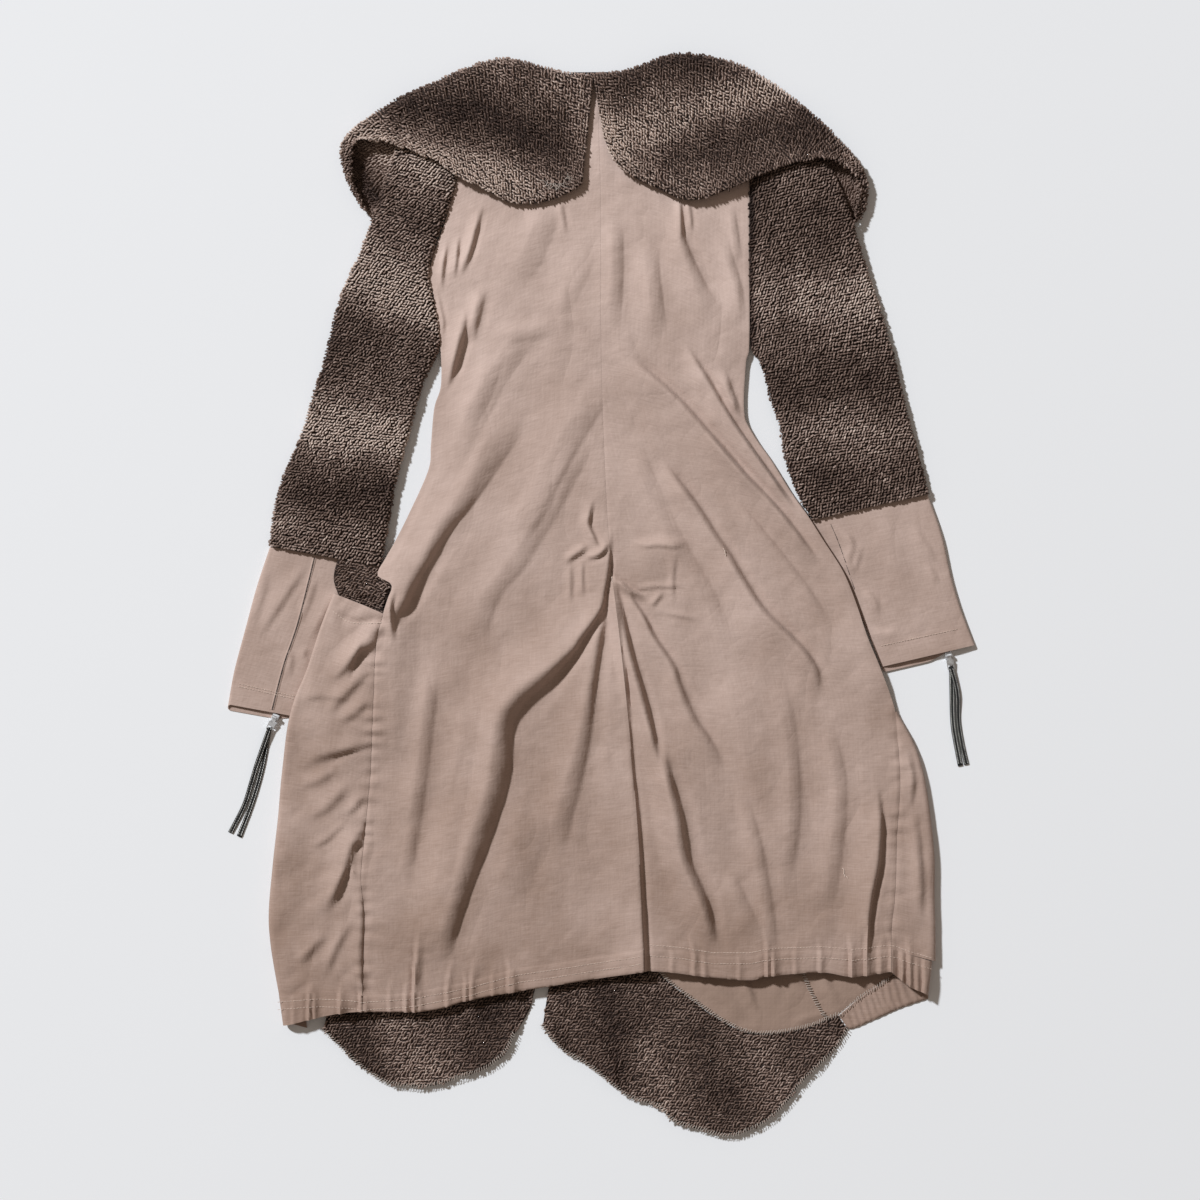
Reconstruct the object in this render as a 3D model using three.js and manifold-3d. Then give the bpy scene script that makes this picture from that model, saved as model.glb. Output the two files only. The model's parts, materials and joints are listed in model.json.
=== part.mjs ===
// A long coat laid flat on its front, seen from the back. The back, side panels and cuffs are woven cotton.
// The sleeves, the wide collar, the fronts and the pocket facing are thick knit. Sizes are in millimetres.
// +X is to the right as the back is seen, +Y is towards the collar, and +Z is up from the surface it lies on.
import * as THREE from "three";
import { mergeVertices } from "three/addons/utils/BufferGeometryUtils.js";
import Module from "manifold-3d";

const wasm = await Module();
wasm.setup();

const wovenWall = 1.5;
const knitWall = 3.5;
const casingWall = 2.4;
const seamGap = 0.3;
const backRest = 4.5; // lowest height of the back, over the knit fronts
const backCrown = 4.5; // how much the back rises away from its outer edges
const crownReach = 45; // distance over which it rises
const sleeveHeight = 10.8;
const cuffHeight = 6.2;
const collarLeafHeight = 17.5;
const turnSteps = 5; // steps round a folded edge
const returnSteps = 2; // steps of the hidden run under a folded edge

const colours = { woven: 0xb39a8c, knit: 0x5e4f48, leather: 0x1d1c1c, metal: 0xc9c9c9, tape: 0x26221f };
const finishes = {
  woven: new THREE.MeshStandardMaterial({ color: colours.woven, roughness: 0.85, metalness: 0 }),
  knit: new THREE.MeshStandardMaterial({ color: colours.knit, roughness: 0.95, metalness: 0 }),
  leather: new THREE.MeshStandardMaterial({ color: colours.leather, roughness: 0.45, metalness: 0 }),
  metal: new THREE.MeshStandardMaterial({ color: colours.metal, roughness: 0.25, metalness: 1 }),
  tape: new THREE.MeshStandardMaterial({ color: colours.tape, roughness: 0.9, metalness: 0 }),
};

const coat = new THREE.Group();

function add(name, geometry, finish, parent = coat) {
  const mesh = new THREE.Mesh(geometry, finishes[finish]);
  mesh.name = name;
  parent.add(mesh);
  return mesh;
}

const clamp01 = (t) => Math.min(1, Math.max(0, t));
const ease = (t) => clamp01(t) * clamp01(t) * (3 - 2 * clamp01(t));
const mix = (a, b, t) => a + (b - a) * t;
const mixPoint = (a, b, t) => a.map((value, axis) => mix(value, b[axis], t));
const line = (points) => new THREE.SplineCurve(points.map(([x, y]) => new THREE.Vector2(x, y)));
const moved = (points, dx, dy) => points.map(([x, y]) => [x + dx, y + dy]);

// The value at y in rows of [y, value], which run downwards.
function tableAt(rows, y) {
  if (y >= rows[0][0]) return rows[0][1];
  for (let i = 1; i < rows.length; i++) {
    const [upper, lower] = [rows[i - 1], rows[i]];
    if (y >= lower[0]) return mix(lower[1], upper[1], (y - lower[0]) / (upper[0] - lower[0]));
  }
  return rows[rows.length - 1][1];
}

// Seam lines and edges that panels share, each from the collar end to the hem end.
const centreSeam = [
  [-4, 613], [0, 474], [0, 354], [2, 234], [7, 114], [12, 42], [16, 6], [26, -78], [38, -198], [47, -318], [52, -421],
];
const leftEdge = [
  [-166, 546], [-172, 498], [-185, 450], [-204, 390], [-199, 354], [-192, 300], [-191, 252], [-199, 224], [-203, 180],
  [-206, 150], [-229, 98], [-245, 66], [-257, 44], [-266, 24], [-249, 12], [-254, -6], [-259, -22],
];
const leftSideSeam = [
  [-259, -22], [-268, -60], [-271, -126], [-275, -211], [-281, -278], [-286, -336], [-282, -382], [-283, -427], [-284, -478],
];
const rightEdge = [
  [173, 540], [178, 498], [178, 450], [178, 390], [178, 300], [174, 277], [172, 220], [182, 194], [204, 162], [227, 125],
  [247, 96], [266, 66], [290, 28], [306, -11], [319, -50], [335, -89], [353, -140],
];
const rightSideSeam = [
  [353, -140], [356, -184], [358, -228], [354, -294], [352, -354], [348, -394], [347, -422],
];
const leftFold = [
  [-319, 2], [-334, -36], [-352, -91], [-365, -122], [-374, -156], [-382, -216], [-386, -264], [-392, -318], [-397, -377],
  [-395, -419], [-385, -478],
];
const rightFold = [
  [358, -140], [370, -174], [379, -198], [386, -228], [392, -271], [396, -313], [396, -359], [397, -402], [397, -438],
];
const pocketMouth = [[-319, 2], [-288, -10], [-259, -22]];

// The top line of the elastic hem casing and the hem itself, from left to right.
const casingTop = {
  sideLeft: [[-385, -478], [-341, -474], [-307, -475], [-284, -478]],
  backLeft: [[-284, -478], [-232, -475], [-192, -468], [-157, -461], [-102, -446], [-52, -439], [36, -425], [52, -421]],
  backRight: [[52, -421], [98, -425], [134, -431], [179, -431], [202, -426], [264, -424], [301, -427], [347, -422]],
  sideRight: [[347, -422], [364, -428], [397, -438]],
};
const hem = {
  sideLeft: [[-380, -515], [-341, -505], [-310, -499], [-284, -497]],
  backLeft: [[-284, -497], [-227, -498], [-192, -494], [-157, -484], [-96, -473], [-52, -466], [41, -451], [52, -449]],
  backRight: [[52, -449], [86, -451], [134, -457], [179, -460], [202, -455], [264, -451], [301, -456], [347, -450]],
  sideRight: [[347, -450], [370, -469], [392, -479]],
};

// Where the outline of the back lies at each height, for the crown. Columns: y, x.
const outlineLeft = [[606, -48], [582, -102], ...leftEdge.slice(0, 13).map(([x, y]) => [y, x]), [2, -319],
  ...leftFold.slice(1).map(([x, y]) => [y, x]), [-515, -380]];
const outlineRight = [[606, 43], [582, 106], ...rightEdge.map(([x, y]) => [y, x]),
  ...rightFold.slice(1).map(([x, y]) => [y, x]), [-479, 392]];
// How high the outer edge of the back lies. Columns: y, height above backRest.
const edgeLift = [
  [560, 0], [520, 1.5], [470, 2.5], [440, 3.5], [330, 3.5], [270, 0.5], [0, 0.5], [-200, 2.5], [-400, 5.5], [-500, 5.5],
];

// The largest folds. The cloth rises to the line over "before" and falls over "after", the side away from the light.
const folds = [
  { name: "deep drape", height: 11, before: 55, after: 17,
    line: [[7, 60], [5, -6], [-18, -42], [-48, -72], [-84, -102], [-102, -126], [-106, -174], [-110, -222], [-126, -288],
      [-144, -366], [-161, -426]] },
  { name: "left hip", height: 8, before: 45, after: 20,
    line: [[-108, 228], [-134, 168], [-178, 104], [-203, 71], [-228, 28], [-240, -20], [-247, -54]] },
  { name: "fan left", height: 4, before: 22, after: 16,
    line: [[10, 8], [0, -54], [-12, -126], [-30, -198], [-53, -270], [-66, -318]] },
  { name: "fan right", height: 7, before: 18, after: 14,
    line: [[17, 6], [38, -78], [54, -144], [66, -204], [82, -246], [102, -306], [120, -360], [134, -426]] },
  { name: "fan far right", height: 4, before: 20, after: 16,
    line: [[19, 12], [48, -6], [84, -84], [94, -114], [120, -174], [150, -222]] },
  { name: "centre pleat", height: -6, before: 10, after: 16,
    line: [[16, 6], [26, -78], [38, -198], [47, -318], [52, -421], [52, -449]] },
  { name: "right hip upper", height: 3, before: 20, after: 18,
    line: [[96, 302], [127, 254], [155, 208], [204, 139], [238, 94], [262, 50]] },
  { name: "right hip lower", height: 4, before: 24, after: 18,
    line: [[29, 283], [66, 254], [102, 220], [157, 155], [215, 94], [264, 24]] },
  { name: "right thigh", height: 4, before: 22, after: 16,
    line: [[66, 162], [112, 104], [149, 47], [190, -18], [229, -58], [254, -92], [257, -126]] },
  { name: "right seam", height: 7, before: 34, after: 12,
    line: [[331, -222], [336, -270], [336, -313], [328, -354], [323, -432]] },
  { name: "left armhole", height: 3, before: 14, after: 14,
    line: [[-148, 452], [-157, 425], [-175, 379], [-178, 330], [-180, 262]] },
  { name: "left waist", height: 3, before: 40, after: 26,
    line: [[-4, 260], [-31, 214], [-72, 142], [-102, 78], [-120, 42]] },
  { name: "left side", height: 5, before: 30, after: 16,
    line: [[-300, -296], [-307, -326], [-320, -359], [-332, -400], [-350, -430]] },
];

// The height that one fold adds at a point: none past its ends, most along its line.
function foldHeight(fold, x, y) {
  let nearest = Infinity;
  let side = 1;
  let along = 0;
  const lengths = fold.line.slice(1).map((p, i) => Math.hypot(p[0] - fold.line[i][0], p[1] - fold.line[i][1]));
  const whole = lengths.reduce((sum, length) => sum + length, 0);
  let walked = 0;
  lengths.forEach((length, i) => {
    const [ax, ay] = fold.line[i];
    const [tx, ty] = [(fold.line[i + 1][0] - ax) / length, (fold.line[i + 1][1] - ay) / length];
    const t = Math.min(length, Math.max(0, (x - ax) * tx + (y - ay) * ty));
    const [dx, dy] = [x - ax - t * tx, y - ay - t * ty];
    const distance = Math.hypot(dx, dy);
    if (distance < nearest) {
      nearest = distance;
      side = Math.sign(dy * tx - dx * ty) || 1;
      along = (walked + t) / whole;
    }
    walked += length;
  });
  const width = side > 0 ? fold.after : fold.before;
  return fold.height * ease(1 - nearest / width) * ease(along * 6) * ease((1 - along) * 8);
}

// The left cuff and the pocket facing lie under the side panel, and lift it.
const cuffLift = 7.5;
const liftOverCuff = (x, y) => cuffLift * ease((y + 215) / 60) * ease((-212 - x) / 38) * ease((70 - y) / 40);

// The underside of the back's cloth.
function backHeight(x, y) {
  const inside = Math.max(0, Math.min(x - tableAt(outlineLeft, y), tableAt(outlineRight, y) - x));
  const crown = backCrown * (1 - Math.exp(-inside / crownReach));
  const raised = folds.reduce((sum, fold) => sum + foldHeight(fold, x, y), 0);
  return backRest + tableAt(edgeLift, y) + crown + liftOverCuff(x, y) + raised * ease(inside / 14);
}

// A grid of plan points between four boundary lines that meet at their ends.
function patch({ left, right, top, bottom }, columns, rows) {
  const [l, r, t, b] = [left, right, top, bottom].map(line);
  const [tl, tr, bl, br] = [t.getPointAt(0), t.getPointAt(1), b.getPointAt(0), b.getPointAt(1)];
  return Array.from({ length: rows + 1 }, (_, i) => {
    const v = i / rows;
    return Array.from({ length: columns + 1 }, (_, j) => {
      const u = j / columns;
      return ["x", "y"].map((axis) =>
        (1 - v) * t.getPointAt(u)[axis] + v * b.getPointAt(u)[axis] +
        (1 - u) * l.getPointAt(v)[axis] + u * r.getPointAt(v)[axis] -
        (1 - u) * (1 - v) * tl[axis] - u * (1 - v) * tr[axis] - (1 - u) * v * bl[axis] - u * v * br[axis]);
    });
  });
}

// A geometry of points and triangles, turned so that its faces point outwards.
function closedGeometry(points, index) {
  let volume = 0;
  const corner = [0, 1, 2].map(() => new THREE.Vector3());
  for (let k = 0; k < index.length; k += 3) {
    corner.forEach((c, n) => c.set(...points[index[k + n]]));
    volume += corner[0].dot(corner[1].clone().cross(corner[2]));
  }
  if (volume < 0) index.reverse();
  const geometry = new THREE.BufferGeometry();
  geometry.setAttribute("position", new THREE.Float32BufferAttribute(points.flat(), 3));
  geometry.setIndex(index);
  return geometry;
}

// A closed solid between two grids of points. With closed true each row is a ring.
function wallSolid(outer, inner, closed = false) {
  const rows = outer.length;
  const columns = outer[0].length;
  const points = [...outer.flat(), ...inner.flat()];
  const at = (layer, i, j) => layer * rows * columns + i * columns + (j % columns);
  const index = [];
  const quad = (a, b, c, d) => index.push(a, b, c, a, c, d);
  const spans = closed ? columns : columns - 1;
  for (let i = 0; i < rows - 1; i++) {
    for (let j = 0; j < spans; j++) {
      quad(at(0, i, j), at(0, i + 1, j), at(0, i + 1, j + 1), at(0, i, j + 1));
      quad(at(1, i, j), at(1, i, j + 1), at(1, i + 1, j + 1), at(1, i + 1, j));
    }
  }
  for (let j = 0; j < spans; j++) {
    quad(at(0, 0, j), at(0, 0, j + 1), at(1, 0, j + 1), at(1, 0, j));
    quad(at(0, rows - 1, j + 1), at(0, rows - 1, j), at(1, rows - 1, j), at(1, rows - 1, j + 1));
  }
  if (!closed) {
    for (let i = 0; i < rows - 1; i++) {
      quad(at(0, i + 1, 0), at(0, i, 0), at(1, i, 0), at(1, i + 1, 0));
      quad(at(0, i, columns - 1), at(0, i + 1, columns - 1), at(1, i + 1, columns - 1), at(1, i, columns - 1));
    }
  }
  return closedGeometry(points, index);
}

// A panel whose underside lies at height(x, y), with its edges cut upright.
function panel(grid, height, wall) {
  const under = grid.map((row) => row.map(([x, y]) => [x, y, height(x, y)]));
  const over = under.map((row) => row.map(([x, y, z]) => [x, y, z + wall]));
  return wallSolid(over, under);
}

// A sheet that runs out to a fold, turns under round it and runs back. Each section has its plan points from the
// start to the fold, the height of its middle surface there, that of the hidden run, and the plan point where it ends.
function turnedSheet(sections, wall) {
  const outer = [];
  const inner = [];
  sections.forEach(({ run, height, low, end }) => {
    const [start, fold] = [run[0], run[run.length - 1]];
    const reach = Math.hypot(fold[0] - start[0], fold[1] - start[1]);
    const out = [(fold[0] - start[0]) / reach, (fold[1] - start[1]) / reach];
    const radius = (height(...fold) - low) / 2;
    const inset = Math.min(radius + wall / 2, reach * 0.9);
    const centre = [fold[0] - out[0] * inset, fold[1] - out[1] * inset];
    const [outerRow, innerRow] = [[], []];
    const place = (x, y, z, nx, ny, nz) => {
      outerRow.push([x + (nx * wall) / 2, y + (ny * wall) / 2, z + (nz * wall) / 2]);
      innerRow.push([x - (nx * wall) / 2, y - (ny * wall) / 2, z - (nz * wall) / 2]);
    };
    run.slice(0, -1).forEach((point) => {
      const [x, y] = mixPoint(start, point, 1 - inset / reach);
      place(x, y, height(x, y), 0, 0, 1);
    });
    for (let k = 0; k <= turnSteps; k++) {
      const angle = Math.PI / 2 - (Math.PI * k) / turnSteps;
      const [c, s] = [Math.cos(angle), Math.sin(angle)];
      place(centre[0] + out[0] * radius * c, centre[1] + out[1] * radius * c, low + radius + radius * s,
        out[0] * c, out[1] * c, s);
    }
    for (let k = 1; k <= returnSteps; k++) {
      const [x, y] = mixPoint(centre, end, k / returnSteps);
      place(x, y, low, 0, 0, -1);
    }
    outer.push(outerRow);
    inner.push(innerRow);
  });
  return wallSolid(outer, inner);
}

// The same from a grid whose last column is the fold. "height" and "floor" are those of the cloth's underside.
const foldedPanel = (grid, { height, floor, ends, wall }) => turnedSheet(grid.map((run, i) => ({
  run,
  height: (x, y) => height(x, y) + wall / 2,
  low: floor(run[run.length - 1][1]) + wall / 2,
  end: ends[i],
})), wall);

// A flattened tube. Columns: the two plan ends of each section, its rest height and its height.
function flatTube(sections, wall, spanSteps, endSteps) {
  const ring = (section, depth) => {
    const [a, b] = [section.from, section.to];
    const length = Math.hypot(b[0] - a[0], b[1] - a[1]);
    const across = [(b[0] - a[0]) / length, (b[1] - a[1]) / length];
    const middle = mixPoint(a, b, 0.5);
    const round = section.height / 2 - depth;
    const straight = length / 2 - section.height / 2;
    const centre = section.rest + section.height / 2;
    const points = [];
    const put = (s, z) => points.push([middle[0] + across[0] * s, middle[1] + across[1] * s, centre + z]);
    for (let k = 0; k < spanSteps; k++) put(mix(-straight, straight, k / spanSteps), -round);
    for (let k = 0; k < endSteps; k++) {
      const angle = -Math.PI / 2 + (Math.PI * k) / endSteps;
      put(straight + round * Math.cos(angle), round * Math.sin(angle));
    }
    for (let k = 0; k < spanSteps; k++) put(mix(straight, -straight, k / spanSteps), round);
    for (let k = 0; k < endSteps; k++) {
      const angle = Math.PI / 2 + (Math.PI * k) / endSteps;
      put(-straight + round * Math.cos(angle), round * Math.sin(angle));
    }
    return points;
  };
  return wallSolid(sections.map((s) => ring(s, 0)), sections.map((s) => ring(s, wall)), true);
}

// Back panels, left and right of the centre seam.
const backGap = seamGap / 2 + 0.1;
add("back_left", panel(patch({
  left: [...leftEdge, ...leftSideSeam.slice(1)],
  right: moved(centreSeam, -backGap, 0),
  top: [[-166, 546], [-108, 580], [-48, 606], [-4 - backGap, 613]],
  bottom: [...casingTop.backLeft.slice(0, -1), [52 - backGap, -421]],
}, 15, 30), backHeight, wovenWall), "woven");
add("back_right", panel(patch({
  left: moved(centreSeam, backGap, 0),
  right: [...rightEdge, ...rightSideSeam.slice(1)],
  top: [[-4 + backGap, 613], [48, 606], [108, 580], [173, 540]],
  bottom: [[52 + backGap, -421], ...casingTop.backRight.slice(1)],
}, 15, 30), backHeight, wovenWall), "woven");

// Side panels turn under at the outline and end at the seam to the fronts.
const sideGap = 1.3;
const onFloor = () => 0;
const leftFloor = (y) => (cuffHeight + 0.6) * ease((y + 205) / 45);
const leftReturn = [[2, -305], [-156, -296], [-240, -296], [-318, -307], [-366, -313], [-438, -319], [-478, -324.5]];
const sideRows = 17;
const sideLeftGrid = patch({
  left: moved(leftSideSeam, -sideGap, 0),
  right: leftFold,
  top: [[-259 - sideGap, -22], [-288, -10], [-319, 2]],
  bottom: [[-284 - sideGap, -478], ...[...casingTop.sideLeft].reverse().slice(1)],
}, 7, sideRows);
add("side_left", foldedPanel(sideLeftGrid, {
  height: backHeight,
  floor: leftFloor,
  wall: wovenWall,
  ends: sideLeftGrid.map((row) => [tableAt(leftReturn, row[7][1]), row[7][1]]),
}), "woven");
const rightReturn = [[-140, 350], [-184, 346], [-240, 343], [-438, 343]];
const sideRightGrid = patch({
  left: moved(rightSideSeam, sideGap, 0),
  right: moved(rightFold, 4, 0),
  top: [[353 + sideGap, -140], [362, -140]],
  bottom: [[347 + sideGap, -422], [364, -428], [401, -438]],
}, 5, 14);
add("side_right", foldedPanel(sideRightGrid, {
  height: backHeight,
  floor: onFloor,
  wall: wovenWall,
  ends: sideRightGrid.map((row) => [Math.min(tableAt(rightReturn, row[5][1]), row[5][0] - 8), row[5][1]]),
}), "woven");

// The elastic casing is gathered: its cloth rises and falls many times along the hem.
const gathers = [
  { from: -382, to: -96, pitch: 20, height: 2.4 },
  { from: 110, to: 398, pitch: 21, height: 2.4 },
];
function casingHeight(x, y) {
  const ripple = gathers.reduce((sum, g) => {
    const fade = ease((x - g.from) / 12) * ease((g.to - x) / 12);
    return sum + g.height * fade * (1 + Math.sin((2 * Math.PI * (x - g.from)) / g.pitch)) / 2;
  }, 0);
  return backHeight(x, y) + ripple;
}
const casingGap = 0.8;
function casing(name, top, bottom, columns) {
  const upper = moved(top, 0, -casingGap);
  add(name, panel(patch({
    left: [upper[0], bottom[0]],
    right: [upper[upper.length - 1], bottom[bottom.length - 1]],
    top: upper,
    bottom,
  }, columns, 2), casingHeight, casingWall), "woven");
}
const cut = (points, fromGap, toGap) => points.map(([x, y], i) =>
  [i === 0 ? x + fromGap : i === points.length - 1 ? x - toGap : x, y]);
casing("hem_casing_back_left", cut(casingTop.backLeft, 0.2, 0.2), cut(hem.backLeft, 0.2, 0.2), 44);
casing("hem_casing_back_right", cut(casingTop.backRight, 0.2, 0.2), cut(hem.backRight, 0.2, 0.2), 44);
const cornerCasings = [
  { name: "hem_casing_side_left", columns: 12, upper: casingTop.sideLeft, lower: hem.sideLeft, left: true },
  { name: "hem_casing_side_right", columns: 8, upper: casingTop.sideRight, lower: hem.sideRight, left: false },
];
cornerCasings.forEach(({ name, columns, upper, lower, left }) => {
  const inward = (points) => {
    const run = left ? [...points].reverse() : points;
    return run.map(([x, y], i) => (i ? [x, y] : [x + (left ? -0.2 : 0.2), y]));
  };
  const [top, bottom] = [moved(inward(upper), 0, -casingGap), inward(lower)];
  const grid = patch({
    left: [top[0], bottom[0]],
    right: [top[top.length - 1], bottom[bottom.length - 1]],
    top,
    bottom,
  }, columns, 3);
  add(name, foldedPanel(grid, {
    height: casingHeight,
    floor: onFloor,
    wall: casingWall,
    ends: grid.map((row) => [row[columns][0] + (left ? 28 : -30), row[columns][1] - 4]),
  }), "woven");
});

// A flat piece cut to an outline, which is a run of lines that meet at its corners. Each line has its own step count.
function flatPiece(lines, wall) {
  const outline = lines.flatMap(({ points, steps }) => line(points).getSpacedPoints(steps).slice(0, -1));
  return new THREE.ExtrudeGeometry(new THREE.Shape(outline), { depth: wall, bevelEnabled: false });
}

// The fronts lie on the surface. Their rounded knit hems show below the back's hem.
add("front_left", flatPiece([
  { steps: 24, points: [
    [-150, 528], [-158, 498], [-172, 450], [-192, 390], [-190, 354], [-185, 300], [-185, 252], [-192, 224], [-196, 180],
    [-199, 150], [-222, 98], [-238, 66], [-248, 36], [-250, 6], [-262, -60], [-274, -126], [-295, -240], [-312, -366],
    [-318, -438], [-326, -490], [-331, -523],
  ] },
  { steps: 16, points: [
    [-331, -523], [-319, -534], [-290, -562], [-258, -583], [-223, -589], [-200, -587], [-170, -578], [-136, -566],
    [-113, -546], [-104, -526],
  ] },
  { steps: 18, points: [
    [-104, -526], [-88, -503], [-83, -488], [-71, -438], [-58, -318], [-41, -126], [-24, 114], [-12, 354], [-8, 560],
  ] },
  { steps: 5, points: [[-8, 560], [-84, 560], [-150, 528]] },
], knitWall), "knit");
const frontSeam = [
  [160, 528], [150, 300], [108, 114], [66, -126], [58, -366], [66, -444], [80, -463], [110, -486], [144, -510], [174, -524],
  [206, -526], [248, -518], [284, -504],
];
const seamSteps = 30;
add("front_right", flatPiece([
  { steps: 18, points: [
    [-3, 560], [-7, 354], [-19, 114], [-36, -126], [-52, -318], [-57, -414], [-59, -456], [-67, -492], [-70, -516],
  ] },
  { steps: 26, points: [
    [-70, -516], [-47, -544], [-19, -560], [19, -590], [34, -601], [70, -613], [86, -629], [119, -640], [152, -648],
    [180, -640], [202, -628], [223, -607], [240, -584], [262, -563], [282, -544], [296, -522],
  ] },
  { steps: 1, points: [[296, -522], [284, -504]] },
  { steps: seamSteps, points: [...frontSeam].reverse() },
  { steps: 5, points: [[160, 528], [84, 562], [-3, 560]] },
], knitWall), "knit");
add("front_side_right", flatPiece([
  { steps: seamSteps, points: moved(frontSeam, 0.5, 0.5) },
  { steps: 3, points: [[284.5, -503.5], [311, -482], [338, -466]] },
  { steps: 24, points: [
    [338, -466], [340, -440], [342, -354], [342, -260], [342, -184], [340, -140], [329, -89], [313, -50], [300, -11],
    [284, 28], [260, 66], [241, 96], [221, 125], [198, 162], [176, 194], [166, 220], [168, 277], [172, 300], [172, 450],
    [169, 524],
  ] },
  { steps: 1, points: [[169, 524], [160.5, 528.5]] },
], wovenWall), "woven");
const frontCasing = {
  top: [[285.9, -504.7], [311.6, -482.7], [338.6, -466.7], [356, -458]],
  bottom: [[297.4, -520.6], [306, -521], [329, -509], [356, -497]],
};
add("hem_casing_front_right", panel(patch({
  left: [frontCasing.top[0], frontCasing.bottom[0]],
  right: [frontCasing.top[3], frontCasing.bottom[3]],
  top: frontCasing.top,
  bottom: frontCasing.bottom,
}, 10, 2), onFloor, casingWall), "woven");

// Sleeves are flattened knit tubes. Columns: outer end, inner end, rest height and height of each section.
const overCollar = 4.3;
const sleeveRows = {
  left: [
    { from: [-244, 536], to: [-171, 515], rest: overCollar, height: 9 },
    { from: [-258, 492], to: [-180.5, 470], rest: overCollar, height: 9.5 },
    { from: [-273, 448], to: [-197.8, 422], rest: overCollar, height: sleeveHeight },
    { from: [-288, 406], to: [-206.8, 384], rest: 3.9, height: sleeveHeight },
    { from: [-304, 373], to: [-199, 346], rest: 1.2, height: sleeveHeight },
    { from: [-317, 334], to: [-193.5, 302], rest: 0, height: sleeveHeight },
    { from: [-331, 277], to: [-212, 257], rest: 0, height: sleeveHeight },
    { from: [-343, 242], to: [-222, 224], rest: 0, height: sleeveHeight },
    { from: [-352, 208], to: [-230, 194], rest: 0, height: sleeveHeight },
    { from: [-366, 172], to: [-239, 162], rest: 0, height: sleeveHeight },
    { from: [-380, 139], to: [-248, 127], rest: 0, height: sleeveHeight },
    { from: [-389, 104], to: [-254, 89], rest: 0, height: sleeveHeight },
    { from: [-396, 59], to: [-264, 35], rest: 0, height: 10 },
  ],
  right: [
    { from: [178.7, 522], to: [248, 542], rest: overCollar, height: 9 },
    { from: [178.7, 480], to: [276, 506], rest: overCollar, height: 9.5 },
    { from: [178.7, 438], to: [295, 464], rest: overCollar, height: sleeveHeight },
    { from: [178.7, 396], to: [307, 424], rest: 3.9, height: sleeveHeight },
    { from: [178.7, 354], to: [320, 384], rest: 1.2, height: sleeveHeight },
    { from: [179.5, 302], to: [336, 336], rest: 0, height: sleeveHeight },
    { from: [194, 275], to: [348, 294], rest: 0, height: sleeveHeight },
    { from: [205, 234], to: [358, 252], rest: 0, height: sleeveHeight },
    { from: [216, 200], to: [367, 216], rest: 0, height: sleeveHeight },
    { from: [222, 162], to: [376, 180], rest: 0, height: sleeveHeight },
    { from: [235, 124], to: [384, 150], rest: 0, height: sleeveHeight },
    { from: [254, 90], to: [392, 121], rest: 0, height: 10 },
  ],
};
add("sleeve_left", flatTube(sleeveRows.left, knitWall, 5, 4), "knit");
add("sleeve_right", flatTube(sleeveRows.right, knitWall, 5, 4), "knit");

// Cuffs are flattened woven tubes. The left one's zip runs along its upper side, the right one's along its underside.
const zipThickness = 1.2;
const underZip = zipThickness + seamGap;
const cuffRows = {
  left: [
    { from: [-396, 58.2], to: [-264, 34.2], rest: 0, height: cuffHeight },
    { from: [-412, 10], to: [-280, -19], rest: 0, height: cuffHeight },
    { from: [-425, -38], to: [-300, -68], rest: 0, height: cuffHeight },
    { from: [-439, -91], to: [-319, -120], rest: 0, height: cuffHeight },
    { from: [-446, -131], to: [-330, -152], rest: 0, height: cuffHeight },
  ],
  right: [
    { from: [254, 89.2], to: [392, 120.2], rest: underZip, height: cuffHeight },
    { from: [286, 42], to: [409, 71], rest: underZip, height: cuffHeight },
    { from: [310, 0], to: [420, 22], rest: underZip, height: cuffHeight },
    { from: [330, -43], to: [432, -18], rest: underZip, height: cuffHeight },
    { from: [346, -84], to: [448, -60], rest: underZip, height: cuffHeight },
  ],
};
add("cuff_left", flatTube(cuffRows.left, wovenWall - 0.3, 5, 4), "woven");
add("cuff_right", flatTube(cuffRows.right, wovenWall - 0.3, 5, 4), "woven");

// A zip is two tapes with the coil between them, closed up to the slider at the cuff's open end.
const zipWidths = [-3.2, -0.9, -0.9, 0.9, 0.9, 3.2];
const zipHeights = [0.4, 0.4, zipThickness, zipThickness, 0.4, 0.4];
function zip(points, rest) {
  const path = line(points);
  const sections = Array.from({ length: 9 }, (_, k) => {
    const t = k / 8;
    const [p, d] = [path.getPointAt(t), path.getTangentAt(t)];
    return zipWidths.map((w, n) => [[p.x - d.y * w, p.y + d.x * w, rest + zipHeights[n]], [p.x - d.y * w, p.y + d.x * w, rest]]);
  });
  return wallSolid(sections.map((s) => s.map(([over]) => over)), sections.map((s) => s.map(([, under]) => under)));
}
add("zip_left", zip([[-342.5, 44], [-361, -30], [-379, -84], [-393, -137]], cuffHeight + seamGap), "tape");
add("zip_right", zip([[366, 108], [392, 50], [408, 0], [424, -64]], 0), "tape");

// The knit facing that shows in the open pocket lies on the cuff.
const facingRest = cuffHeight + 0.6 + wovenWall + seamGap;
add("pocket_facing", panel(patch({
  left: [[-314, 32], [-318, 18], [-309, -8]],
  right: [[-248, 14], [-256, -4], [-262, -27]],
  top: [[-314, 32], [-292, 27], [-270, 21], [-248, 14]],
  bottom: [[-309, -8], [-285, -19], [-262, -27]],
}, 5, 4), () => facingRest, knitWall - 0.5), "knit");

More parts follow.
